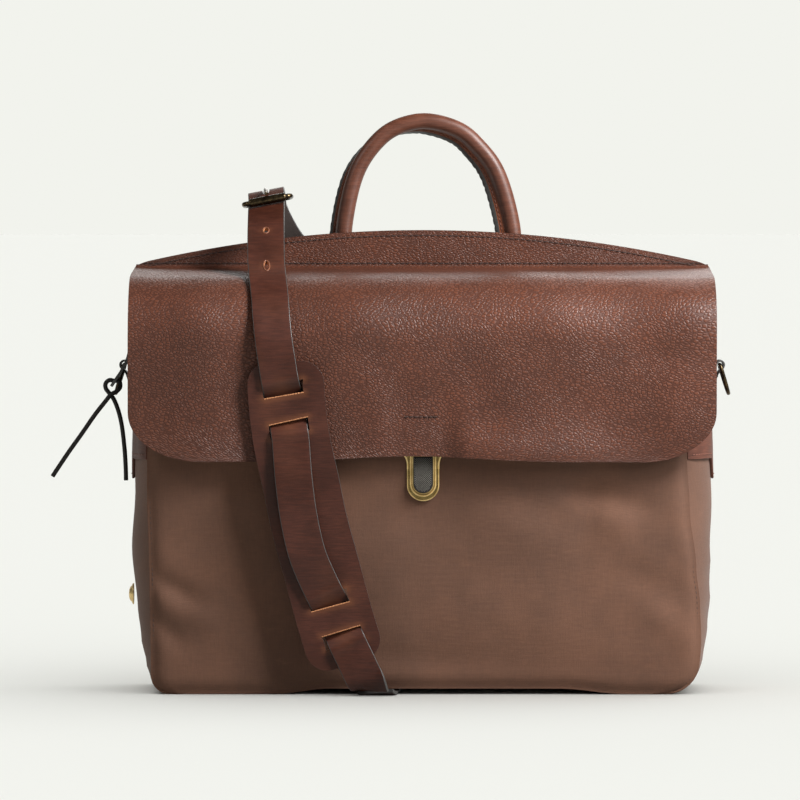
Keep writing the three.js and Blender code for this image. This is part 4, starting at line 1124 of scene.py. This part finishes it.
def handle():
    path = Path([(x, HANDLE_Y, z) for x, z in HANDLE_LINE], per_span=40)
    section = handle_section()
    n = len(section)
    painted = n - 9
    shares = span(0, 1, 130)
    points = []
    for k, t in enumerate(shares):
        p, out, side = handle_frame(path, t)
        rough = 0.25 * math.sin(k * 2.1) + 0.3 * wobble(k, 0, 0, 1.7)
        points += [p + out * (a + (rough if a > FLANGE_PAINT else 0.0)) + side * b for a, b in section]
    strip = [1 if painted <= i < painted + 6 else 2 if painted - 2 <= i < n - 1 else 0 for i in range(n)]
    slots = strip * (len(shares) - 1) + [1, 1]
    obj = build("handle_roll", points, shell(n, len(shares)), ["handle", "paint", "flange"], slots, angle=60)
    paint_wear(obj, lambda p: 0.03 + 0.05 * wobble(p.x, p.y, p.z, 22))
    finish(obj, "handle", "handle_leather", "handle_cover", "handle_core")
    for sign, label in ((1, "a"), (-1, "b")):
        frames = [handle_frame(path, t) for t in span(0.02, 0.98, 160)]
        line = np.array([p + out * FLANGE_SEAM + side * sign * 1.98 for p, out, side in frames])
        ways = [side * sign for _, _, side in frames]

        def out_at(p):
            return ways[int(np.argmin(np.linalg.norm(line - p, axis=1)))]

        stitch(f"handle_stitch_{label}", line, out_at, "handle", "handle_leather", RED_SEAM, 3.2, 0.33)
    for label, (x, _) in (("left", HANDLE_LINE[0]), ("right", HANDLE_LINE[-1])):
        handle_tab(label, x)


def handle_tab(label, x):
    """The flat leaf at a handle's foot, sewn to the yoke."""
    low, bend, high, half = TAB["low"], TAB["round"], TAB["high"], TAB["half"]

    def width(z):
        if z > bend:
            return lerp(half, 8, (z - bend) / (high - bend))
        return math.sqrt(max(half ** 2 - (bend - z) ** 2, 0.04))

    def surface(u, z):
        return V(x - u * width(z), 57.9 + 0.9 * smooth(270, 284, z), z)

    rows = [low + half * (1 - math.cos(math.radians(a))) for a in span(8, 90, 9)] + span(bend, high, 12)[1:]
    obj = sheet(f"handle_tab_{label}_leaf", surface, span(-1, 1, 8), rows, 3.2, ["handle", "paint", "handle"],
                rim=0.6)
    finish(obj, "bag", "handle_leather", f"handle_tab_{label}")
    inset = [(TAB["seam"] - 0.4 * smooth(246, 280, z), z) for z in span(278, bend, 10)]
    line = inset + arc(0, bend, TAB["seam"], -12, -168, 12) + [(-a, z) for a, z in inset[::-1]]
    stitch(f"handle_tab_stitch_{label}", [V(x + a, 59.55, z) for a, z in line], BACK, "bag", "handle_leather",
           RED_SEAM, 3.0, 0.34)


# ---------------------------------------------------------------- lock and catch
LOCK_EAR = [(10.3, 151), (10.3, 155), (11.2, 158.6), (12.9, 161)]
LOCK_SHOULDER = 14  # how far below a plate's top its straight sides end
THUMB = {"half": 6.3, "low": 135.2, "face": -61.15, "pitch": 1.4, "top": 158.6}


def shield(half, bottom, top, flare=0.0):
    """A plate outline with a round bottom, flared out at its top when asked."""
    side = [(half, top - LOCK_SHOULDER), (half, top - 10)]
    if flare:
        turns = [math.radians(a) for a in span(15, 90, 5)]
        side += [(half + flare * (1 - math.cos(a)), top - 10 + 6 * math.sin(a)) for a in turns]
    side += [(half + flare, top)]
    right = [(LOCK_X + x, z) for x, z in side]
    left = [(LOCK_X - x, z) for x, z in side[::-1]]
    return arc(LOCK_X, bottom + half, half, 180, 360, 28) + right + left


def u_rim(half, bottom, top, width):
    """The outline of a U-shaped rim of even width."""
    outer = arc(LOCK_X, bottom + half, half, 180, 360, 32)
    inner = arc(LOCK_X, bottom + half, half - width, 360, 180, 32)
    return [(LOCK_X - half, top), *outer, (LOCK_X + half, top), (LOCK_X + half - width, top), *inner,
            (LOCK_X - half + width, top)]


def plate(name, outline, near, far, material, edge, body, slot, *nodes, segments=3):
    finish(prism(name, outline, near, far, [material], edge, segments), body, slot, *nodes)


def lock():
    base = shield(10.8, 129.5, 167, 2.2)
    # The base plate shows between the rims in the darker brass: painted shade in those gaps.
    plate("lock_base_plate", base, -56.7, -55.6, "brass_painted_shade", 0.35, "bag", "brass", "lock_base")
    plate("lock_base_rim", u_rim(10.8, 129.5, 160, 0.9), -57.6, -56.6, "brass", 0.35, "bag", "brass")
    for side, label in SIDES:
        line = [(LOCK_X + side * x, -57.1, z) for x, z in LOCK_EAR]
        ear = tube(f"lock_ear_{label}", Path(line), lambda t: 0.75 + 0.3 * t, 30, 10, ["brass"])
        finish(ear, "bag", "brass")
    plate("lock_housing_u", u_rim(8.9, 132.4, 166, 1.5), -59.4, -56.8, "brass", 0.7, "bag", "brass",
          "lock_housing", segments=4)
    plate("lock_inner_lip", u_rim(7.2, 134.2, 166, 0.75), -60.3, -57.0, "brass", 0.34, "bag", "brass",
          segments=4)
    thumb = shield(THUMB["half"], THUMB["low"], 159)
    # The thumb's body is near-black: painted shade in the grooves between the knurl's pyramids.
    plate("lock_thumb_body", thumb, -61.2, -60.5, "pit_shade", 0.2, "lock_thumb", "steel", "lock_thumb")
    thumb_knurl()
    finish_cad("steel", "lock_spring")
    finish_cad("antique", "lock_backplate", "lock_rivet_1", "lock_rivet_2")


def thumb_knurl():
    """Crossed grooves that leave a field of small pyramids, and a dotted row down each side."""
    pitch, low, half = THUMB["pitch"], THUMB["low"], THUMB["half"]
    deep = half - 1.0
    spots = []
    for j in range(36):
        for i in range(-5, 6):
            x, z = (i + 0.5 * (j % 2)) * pitch, low + 0.5 + j * pitch / 2
            inside = z > low + half or math.hypot(x, z - low - half) < deep
            if abs(x) < deep and inside and z < THUMB["top"]:
                spots.append((x, z, pitch * 0.37))
    spots += [(side * (half - 0.6), z, 0.45) for side, _ in SIDES for z in span(low + half, 158.2, 15)]
    points, faces = [], []
    for x, z, size in spots:
        base = len(points)
        for reach, height in ((size, 0.0), (0.3 * size, 0.3)):
            points += [V(LOCK_X + x + dx * reach, THUMB["face"] - height, z + dz * reach)
                       for dx, dz in ((-1, 0), (0, -1), (1, 0), (0, 1))]
        faces += [tuple(base + v for v in f) for f in lattice(4, 2, wrap=True)]
        faces.append(tuple(range(base + 4, base + 8)))
    obj = build("lock_thumb_knurl", points, faces, ["steel"], angle=10)
    recalculate(obj)
    finish(obj, "lock_thumb", "steel")


def tongue(half, top, low, r, steps):
    """A strip's outline with its two lower corners rounded."""
    return [(LOCK_X - half, top), *arc(LOCK_X - half + r, low + r, r, 180, 270, steps),
            *arc(LOCK_X + half - r, low + r, r, 270, 360, steps), (LOCK_X + half, top)]


def catch():
    """The leather tab and striker plate behind the flap's lower edge."""
    tab = tongue(12, 204, 172, 6, 6)
    plate("catch_tab_leaf", tab, -61.7, -59.9, "strap", 0.4, "flap", "strap_leather", "catch_tab")
    striker = tongue(8, 186.5, 168.8, 3, 5)
    plate("catch_striker", striker, -59.5, -58.3, "brass", 0.3, "flap", "brass", "catch_plate")
    finish_cad("antique", "catch_rivet_1", "catch_rivet_2")


# ---------------------------------------------------------------- strap and pad
PAD = {"half": 25.5, "y": -70.0, "thick": 2.7, "corner": 15}
OVER = PAD["y"] - 2.9
UNDER = PAD["y"] + 2.8
STRAP_HALF = 12.5
STRAP_THICK = 2.4
BUCKLE = {"x": -105.2, "lean": 11, "front": (33, 330.5), "rear": (57.4, 329.5), "half": 16.0}
HOOKS = {"x": -26, "y": 65, "upper": 122, "lower": 51.4, "fold": 3.4}


def fold_round(z, down):
    """The strap's end folded back round a hook's bar."""
    r = HOOKS["fold"]
    turn = [(HOOKS["x"], HOOKS["y"] - y, z - down * h) for y, h in arc(0, 0, r, 0, 180, 4)]
    return [*turn, (HOOKS["x"], HOOKS["y"] + r, z + down * 16)]


STRAP_FRONT = [
    (-105.2, 66.6, 325.5), (-105.7, 64.4, 331), (-106.2, 60.6, 335.4), (-106.4, 55.6, 336.2),
    (-106.2, 50, 334.6), (-105.9, 44, 331.6), (-105.8, 38.4, 327.8), (-105.8, 33, 325),
    (-105.8, 27, 320.6), (-105.6, 10, 309), (-105.2, -8, 297.4), (-104.5, -25, 286.8),
    (-103.2, -41.5, 277.4), (-101.6, -56, 266.2), (-100.3, -66.2, 252), (-98.8, -71.6, 238),
    (-97, OVER, 226), (-94.9, OVER, 212.6), (-94.2, OVER, 209), (-92.6, UNDER, 201),
    (-91.8, UNDER, 197), (-90, UNDER, 187), (-89.2, UNDER, 183), (-88, OVER, 175),
    (-87.4, OVER, 171), (-85.6, OVER - 2, 148), (-82, OVER - 2.6, 120), (-76, OVER - 1.6, 94),
    (-66.6, OVER, 72), (-64.6, OVER, 68), (-60.6, UNDER, 60), (-58.8, UNDER, 56),
    (-55.2, UNDER, 47.6), (-53.4, UNDER, 43.6), (-49.6, OVER, 35.6), (-47.6, OVER, 31.4),
    (-43.8, OVER - 0.4, 23.6), (-39.8, OVER, 15), (-36, OVER + 2.6, 8.4), (-32.4, OVER + 7.6, 3.6),
]
STRAP_BACK = [
    (-78.4, 69.6, 282), (-72, 69, 262), (-61, 67.6, 230), (-47, 66, 190), (-35, 64, 156), (-28, 62, 134),
    *fold_round(HOOKS["upper"], 1),
]
STRAP_TOP = [
    (-105.2, 66.7, 325.2), (-102.4, 66.2, 318.5), (-99.2, 66.2, 312), (-94.6, 67.6, 304),
    (-88.6, 69.4, 296), (-83.2, 69.7, 289), (-78.4, 69.6, 282),
]
STRAP_FLOOR = [
    (-31.2, -63.4, 2.6), (-29.6, -58, 1.5), (-27.6, -34, 1.5), (-26.6, 0, 1.5), (-26, 34, 1.5),
    (-26, 52, 1.7), (-26, 58.6, 3.6), (-26, 62, 8.6), (-26, 62.4, 16), (-26, 61.8, 38),
    *fold_round(HOOKS["lower"], -1),
]
# The buckle holes' heights, half-lengths and half-widths, after the slot for the pin at the strap's end.
PIN_SLOT = (0.0395, 9.4, 2.3)
BUCKLE_HOLES = [(309, 3.2, 1.8), (285.4, 6.4, 1.7)]
HOLE_COLUMN = 2.0
WORN_HEIGHTS = (206, 179, 64, 40)


def front_across(path):
    """The front run's width direction: tipped at the buckle, then square to the run in the flap's plane."""
    def across(t):
        tip = math.radians(BUCKLE["lean"]) * (1 - smooth(0.1, 0.2, t))
        ahead = path.tangent(t)
        down = unit(V(-ahead[2], 0, ahead[0]))
        way = lerp(V(math.cos(tip), 0, math.sin(tip)), down, smooth(0.25, 0.4, t))
        return lerp(way, V(0.81, -0.59, 0), smooth(0.965, 1, t))

    return across


def ribbon(path, across):
    """The surface of a flat strap along a path; across gives its width direction."""
    def surface(u, t):
        ahead = path.tangent(t)
        side = across(t)
        side = unit(side - ahead * side.dot(ahead))
        return path.at(t) + side * u * STRAP_HALF

    return surface


def near_spots(path, spots, reach):
    """1 beside any of the spots on a path, fading to 0 at reach."""
    places = [path.at(t) for t in spots]
    return lambda p: max(1 - smooth(0, 1, np.linalg.norm(V(*p) - c) / reach) for c in places)


def share_at_height(path, z):
    return next(t for t in span(0.1, 1, 900) if path.at(t)[2] < z)


def around_hole(x, along, half_width, half_length):
    """Draws the lattice's corners near a hole in to an ellipse; along is the distance down the strap."""
    a, b = x / HOLE_COLUMN, along / half_length
    far = max(abs(a), abs(b))
    if far < 1e-6 or far > 2:
        return x, along
    p, q = a / far, b / far
    round_x = far * p * math.sqrt(1 - q * q / 2) * half_width
    round_along = far * q * math.sqrt(1 - p * p / 2) * half_length
    share = 1 - smooth(1, 2, far)
    return lerp(x, round_x, share), lerp(along, round_along, share)


def strap_front():
    path = Path(STRAP_FRONT)
    run = ribbon(path, front_across(path))
    punched = [(share_at_height(path, z), half, width) for z, half, width in BUCKLE_HOLES]
    holes = [PIN_SLOT, *punched]
    us = mirrored(1, 0, 0.08, 0.16, 0.24, 0.45, 0.8)
    rows = set(span(0, 1, 300))
    for t, half, _ in holes:
        reach = half / path.length
        rows = {v for v in rows if not abs(v - t) < reach * 2.1}
        rows |= {t + reach * k for k in span(-2, 2, 12)}
    vs = sorted({0.0, *(v for v in rows if 0.002 < v <= 1)})

    def surface(u, v):
        for t, half, width in holes:
            if abs(v - t) * path.length < 2 * half:
                x, along = around_hole(u * STRAP_HALF, (v - t) * path.length, width, half)
                return run(x / STRAP_HALF, t + along / path.length)
        return run(u, v)

    def hole_here(i, j):
        x = (us[i] + us[i + 1]) / 2 * STRAP_HALF
        v = (vs[j] + vs[j + 1]) / 2
        return abs(x) < HOLE_COLUMN and any(abs(v - t) * path.length < half for t, half, _ in holes)

    obj = sheet("strap_front_run", surface, us, vs, STRAP_THICK, STRAP, hole_here, rim=0.45, flip=True)
    near = near_spots(path, [t for t, _, _ in punched], 7)
    ends = near_spots(path, [share_at_height(path, z) for z in WORN_HEIGHTS], 12)
    paint_wear(obj, lambda p: 0.14 * near(p) + 0.15 * ends(p) + 0.08 * max(wobble(p.x, p.y, p.z, 30), 0))
    finish(obj, "strap_front", "strap_leather", "strap_front")
    for k, (t, half, width) in enumerate(punched):
        punched_hole(k, path, run, t, half, width)


def punched_hole(k, path, run, t, half, width):
    """The tan wall and raised lip that punching leaves round a buckle hole."""
    out = unit(np.cross(run(0.1, t) - run(-0.1, t), run(0, t + 0.002) - run(0, t - 0.002)))
    out = out * -math.copysign(1, out[1])
    turns = [math.radians(a) for a in span(0, 348, 29)]

    def rim(grow, lift):
        return [run((width + grow) * math.cos(a) / STRAP_HALF, t + (half + grow) * math.sin(a) / path.length)
                + out * lift for a in turns]

    points = rim(-0.12, -1.2) + rim(-0.12, 0) + rim(-0.1, 1.2)
    wall = build(f"punched_wall_{k}", points, lattice(len(turns), 3, wrap=True), ["raw"])
    finish(wall, "strap_front", "strap_leather")
    lip = ring(f"punched_lip_{k}", rim(0.3, 1.12), 0.48, 87, 8, ["lip"], per_span=3)
    finish(lip, "strap_front", "strap_leather")


def plain_strap(name, path, across, rows=150, back="strap", uv=None):
    return sheet(name, ribbon(path, across), span(-1, 1, 6), span(0, 1, rows), STRAP_THICK,
                 ["flesh", "paint", back], rim=0.5, uv=uv)


def strap_back():
    """The run behind the bag, the run over the crest and the run under the bag."""
    obj = plain_strap("strap_back_run", Path(STRAP_BACK), lambda t: V(-1, 0, 0))
    finish(obj, "bag", "strap_leather", "strap_back")
    top = Path(STRAP_TOP)
    tip = math.radians(BUCKLE["lean"])
    obj = plain_strap("strap_over_crest", top,
                      lambda t: lerp(V(-math.cos(tip), 0, -math.sin(tip)), V(-1, 0, 0), smooth(0, 0.6, t)),
                      50, "strap_flat", lambda u, t: (u * STRAP_HALF, t * top.length))
    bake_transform(obj)
    obj = plain_strap("strap_floor_run", Path(STRAP_FLOOR), lambda t: V(1, 0, 0))
    finish(obj, "bag", "strap_leather", "strap_floor")


def keeper():
    """A leather loop round the strap behind the crest."""
    path = Path(STRAP_TOP)
    t = 0.8
    ahead = path.tangent(t)
    across = unit(V(1, 0, 0) - ahead * ahead[0])
    out = np.cross(across, ahead)
    loop = round_box(-14.5, 14.5, -3.1, 3.1, 1.9, 5)
    rows = span(-5, 5, 4)
    points = [path.at(t) + across * x + out * y + ahead * w for w in rows for x, y in loop]
    uv = [(k, w) for w in rows for k in range(len(loop))]
    faces = lattice(len(loop), len(rows), wrap=True)
    obj = build("strap_keeper_loop", points, faces, ["strap_flat", "paint"], uv=uv)
    thicken(obj, 1.5, 0.3)
    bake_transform(obj)
    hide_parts("strap_keeper")


PAD_LINE = [
    (-91, 223), (-90.2, 200), (-87, 172), (-80.6, 142), (-75, 115), (-66.6, 84), (-58, 52), (-48.4, 21),
]
# Each slot's middle, how much it climbs to the right, and which of its long edges is frayed.
PAD_SLOTS = [(-93.4, 205, 0.13, 1), (-88.6, 179, 0.13, -1), (-62.6, 64, 0, 1), (-51.6, 39.6, 0, -1)]
SLOT_HALF = 13.3
SLOT_REACH = 4.6


def nearest_share(path, p, steps):
    return min(span(0, 1, steps), key=lambda s: np.linalg.norm(path.at(s) - p))


def shoulder_pad():
    """A flat leather pad with round ends and four slots that the strap is woven through."""
    path = Path([(x, PAD["y"], z) for x, z in PAD_LINE])
    corner, reach, inner = PAD["corner"], SLOT_REACH / path.length, SLOT_HALF / PAD["half"]

    def side_at(t):
        ahead = path.tangent(t)
        return unit(V(-ahead[2], 0, ahead[0]))

    slots = []
    for x, z, climb, frayed in PAD_SLOTS:
        middle = V(x, PAD["y"], z)
        t = nearest_share(path, middle, 600)
        slots.append((t, float((middle - path.at(t)).dot(side_at(t))), climb, frayed))

    def surface(u, t):
        near = [math.exp(-(((t - slot[0]) * path.length) / 9) ** 2) for slot in slots]
        shift, climb = (sum(share * slot[i] for share, slot in zip(near, slots)) for i in (1, 2))
        inset = cut_in(corner, min(t, 1 - t) * path.length)
        x = u * (PAD["half"] - inset) + shift * max(1 - abs(u) ** 2, 0)
        cup = 0.9 * (1 - u * u) * plateau(0.2, 0.4, 0.6, 0.8, t)
        tilt = path.tangent(t) * x * climb * (1 - smooth(0.75, 1, abs(u)))
        return path.at(t) + side_at(t) * x - tilt + V(0, cup, 0)

    us = mirrored(1, 0, 0.2, 0.4, inner, 0.66, 0.8, 0.93)
    round_end = [corner / path.length * (1 - math.cos(math.radians(a))) for a in span(0, 90, 12)]
    rows = {*span(0.09, 0.91, 84), *round_end, *(1 - v for v in round_end)}
    rows |= {slot[0] + k * reach for slot in slots for k in (-1, 0, 1)}
    vs = sorted(rows)
    vs = [v for i, v in enumerate(vs) if i == 0 or v - vs[i - 1] > 0.0004]

    def slot_here(i, j):
        u, v = (us[i] + us[i + 1]) / 2, (vs[j] + vs[j + 1]) / 2
        return any(abs(v - slot[0]) < reach and abs(u) < inner for slot in slots)

    obj = sheet("shoulder_pad_leaf", surface, us, vs, PAD["thick"], STRAP, slot_here, rim=0.55, flip=True)
    for k, (t, _, _, frayed) in enumerate(slots):
        frayed_edge(k, [surface(u, t + frayed * reach) for u in span(-inner, inner, 16)])
    rims = np.array([surface(u, slot[0] + edge * reach)
                     for slot in slots for edge in (-1, 1) for u in span(-inner, inner, 12)])

    def wear(p):
        near = np.linalg.norm(rims - V(*p), axis=1).min()
        return 0.3 * (1 - smooth(0, 5, near)) + 0.1 * max(wobble(p.x, p.y, p.z, 26), 0)

    paint_wear(obj, wear)
    finish(obj, "strap_front", "strap_leather", "shoulder_pad")


def frayed_edge(k, line):
    """The torn pale fibres along the worn edge of a slot."""
    face = V(0, 0.3 - PAD["thick"] / 2, 0)
    path = Path([p + face for p in line])
    obj = tube(f"pad_frayed_edge_{k}", path, lambda t: 0.42 + 0.3 * wobble(t * 40, k, 0, 1), 70, 8, ["raw"])
    finish(obj, "strap_front", "strap_leather")


# ---------------------------------------------------------------- buckle
def on_buckle(points):
    """Places points given across, along and above the buckle's frame."""
    pitch = math.atan2(BUCKLE["rear"][1] - BUCKLE["front"][1], BUCKLE["rear"][0] - BUCKLE["front"][0])
    lean = math.radians(BUCKLE["lean"])
    across = V(math.cos(lean), 0, math.sin(lean))
    along = V(0, math.cos(pitch), math.sin(pitch))
    up = np.cross(across, along)
    origin = V(BUCKLE["x"], *BUCKLE["front"])
    return [origin + across * x + along * y + up * z for x, y, z in points]


def buckle():
    depth = math.hypot(BUCKLE["rear"][0] - BUCKLE["front"][0], BUCKLE["rear"][1] - BUCKLE["front"][1])
    half = BUCKLE["half"]
    base, tip = on_buckle([(0, 0, 0), (0, 0, 1)])
    up = tip - base
    loop = [(x, y, 0) for x, y in round_box(-half, half, 0, depth, 3.4, 5)]
    wire = ring("buckle_wire", on_buckle(loop), 1.7, 150, 16, up=up)
    finish(wire, "strap_front", "antique_brass", "buckle_frame")
    line = Path(on_buckle([(x, 0, 0) for x in span(-12.6, 12.6, 6)]))
    roller = tube("buckle_roller_sleeve", line, lambda t: 2.85 - 0.45 * smooth(0.46, 0.5, abs(t - 0.5)),
                  60, 24, up=up)
    finish(roller, "buckle_roller", "antique_brass", "buckle_roller")
    curve = [(depth + 2.3, 0.8), (depth + 0.6, 2.2), (depth - 2.4, 2.2), (depth - 6, 5.9), (13.4, 7.6),
             (8, 6.9), (3, 5.6), (-1, 4.5)]
    line = Path(on_buckle([(0, y, z) for y, z in curve]))
    pin = tube("buckle_pin", line, lambda t: 1.35 - 0.35 * smooth(0.8, 1, t), 60, 14)
    finish(pin, "buckle_prong", "antique_brass", "buckle_prong")
    eye = [(0, y, z) for y, z in arc(depth, 0, 2.5, 0, 345, 23)]
    finish(ring("buckle_pin_eye", on_buckle(eye), 0.85, 72, 10, per_span=4), "buckle_prong", "antique_brass")


# ---------------------------------------------------------------- snap hooks behind the bag
COLLAR = [(2.0, -3.4), (3.3, -3.4), (3.7, -2.6), (3.7, 0.6), (3.2, 1.5), (2.0, 1.6)]
BARREL = [
    (1.3, 3.3), (2.6, 3.1), (2.7, 2.1), (1.4, 2.0), (1.4, -3.8), (3.2, -3.9), (3.6, -4.6), (3.6, -8.2),
    (3.0, -9.0), (1.2, -9.2),
]
BOW = [(0, -6.5), (-3.6, -11), (-6.4, -16), (-6.4, -23), (-3, -28), (2.4, -28.4), (6, -25), (6.6, -21.2)]
GATE = [(4.4, -10.2), (5.0, -12.4), (5.7, -15.4), (6.4, -19.4)]
SWIVEL_Z = -9


def snap_hook(name):
    """A hook built hanging from the origin, then placed; the lower one stands on its head, turned across."""
    upper = name == "upper"

    def place(p):
        flip = 1 if upper else -1
        return V(p[0], flip * p[1], flip * p[2]) + V(HOOKS["x"], HOOKS["y"], HOOKS[name])

    def wire(points):
        return Path([place((x, 0, SWIVEL_Z + z) if upper else (0, x, SWIVEL_Z + z)) for x, z in points])

    def turned(part, profile):
        obj = lathe(f"snap_{name}_{part}", [(r, SWIVEL_Z + h) for r, h in profile], (0, 0, 0), (0, 0, 1),
                    ANTIQUE, 28)
        for vertex in obj.data.vertices:
            vertex.co = Vector(place(tuple(vertex.co / MM))) * MM
        recalculate(obj)
        return obj

    loop = [place((x, 0, z)) for x, z in round_box(-15.4, 15.4, SWIVEL_Z, 0, 2.4, 4)]
    eye = ring(f"snap_{name}_loop", loop, 1.55, 130, 14, up=V(0, 1, 0))
    finish(eye, "bag", "antique_brass", f"snap_{name}_eye")
    finish(turned("collar", COLLAR), "bag", "antique_brass")
    bow = tube(f"snap_{name}_bow", wire(BOW), lambda t: 1.9 - 0.5 * smooth(0.93, 1.0, t), 90, 16)
    finish(bow, f"snap_{name}", "antique_brass", f"snap_{name}_hook")
    finish(turned("barrel", BARREL), f"snap_{name}", "antique_brass")
    gate = tube(f"snap_{name}_gate_bar", wire(GATE), lambda t: 1.25 - 0.4 * abs(2 * t - 1) ** 6, 30, 12)
    finish(gate, f"snap_{name}_gate", "antique_brass", f"snap_{name}_gate")


# ---------------------------------------------------------------- zip
ZIP_Z = 246.5
TEETH_GAP = (-3, 0.6)
TAIL = {"x": -197, "y": -14, "z": 246.5, "half": 6}
TAIL_FALL = [(0.6, 0), (0.5, 3), (0.6, 10), (0.2, 17), (-1.6, 24), (-5, 30.6), (-9.6, 37.5), (-12.2, 41.4)]
TAIL_HOLE = (-9.6, 37.5)
TOOTH = ((-0.6, 0), (0.6, 0), (0.6, 0.9), (0.25, 1.5), (-0.25, 1.5), (-0.6, 0.9))


def zip_tape(name, body, low_y, high_y, node):
    obj = sheet(name, lambda x, y: V(x, y, ZIP_Z), span(-140, 165, 61), span(low_y, high_y, 12), 1.3,
                ["tape", "tape", "lining"], rim=0.25)
    finish(obj, body, "canvas", node)


def zip_teeth(name, body, y, sign, node):
    """Single metal teeth clamped on the tape's edge."""
    points, faces = [], []
    for x in span(-139, 164, 152):
        base = len(points)
        points += [V(x + dx, y + sign * dy, ZIP_Z + dz) for dz in (-0.75, 0.75) for dx, dy in TOOTH]
        faces += [tuple(base + i for i in range(6)), tuple(base + 11 - i for i in range(6))]
        faces += [(base + i, base + (i + 1) % 6, base + 6 + (i + 1) % 6, base + 6 + i) for i in range(6)]
    obj = build(name, points, faces, ["brass"], angle=20)
    recalculate(obj)
    finish(obj, body, "brass", node)


def zips():
    front, back = TEETH_GAP
    zip_tape("zip_tape_front", "zip_front", -50.2, front, "zip_band_front")
    zip_tape("zip_tape_back", "zip_back", back, 47.8, "zip_band_back")
    zip_teeth("zip_teeth_front_row", "zip_front", front, 1, "zip_teeth_front")
    zip_teeth("zip_teeth_back_row", "zip_back", back, -1, "zip_teeth_back")
    finish_cad("tape", "zip_end_left", "zip_end_right")
    finish_cad("antique", "zip_slider", "zip_slider_pull")
    for node in ("zip_end_left", "zip_end_right"):
        soften(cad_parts[node], 0.25, 1)
    for node in ("zip_slider", "zip_slider_pull"):
        soften(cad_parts[node], 0.25, 2, 30)


def zip_tail():
    """The leather strip that hangs from the zip's left end, with the hole for the lace."""
    def place(out, down):
        return V(TAIL["x"] + out, TAIL["y"], TAIL["z"] - down)

    path = Path([place(*p) for p in TAIL_FALL])
    hole = nearest_share(path, place(*TAIL_HOLE), 300)
    reach = 2.3 / path.length
    us = mirrored(1, 0, 0.2, 0.38, 0.7)
    vs = sorted({*span(0, 0.8, 22), *span(0.8, 1, 8), *(hole + k * reach for k in (-1, -0.5, 0, 0.5, 1))})

    def hole_here(i, j):
        u, v = (us[i] + us[i + 1]) / 2, (vs[j] + vs[j + 1]) / 2
        return abs(v - hole) < reach and abs(u) < 0.38

    def surface(u, t):
        end = max(0, t - 0.88) / 0.12
        return path.at(t) + V(0, u * TAIL["half"] * (1 - 0.35 * end ** 2), 0)

    obj = sheet("zip_tail_strip", surface, us, vs, 1.9, BLACK_LEAF, hole_here, rim=0.35)
    finish(obj, "zip_tail", "black_leather", "zip_tail")


# ---------------------------------------------------------------- the whole bag
make_studio()
laces()
body_panels()
body_gusset()
seam_rows()
base_board()
gusset_leather()
d_rings()
stud()
flap_and_crest()
crest_stitches()
back_yoke()
handle()
lock()
catch()
strap_front()
strap_back()
keeper()
shoulder_pad()
buckle()
snap_hook("upper")
snap_hook("lower")
zips()
zip_tail()
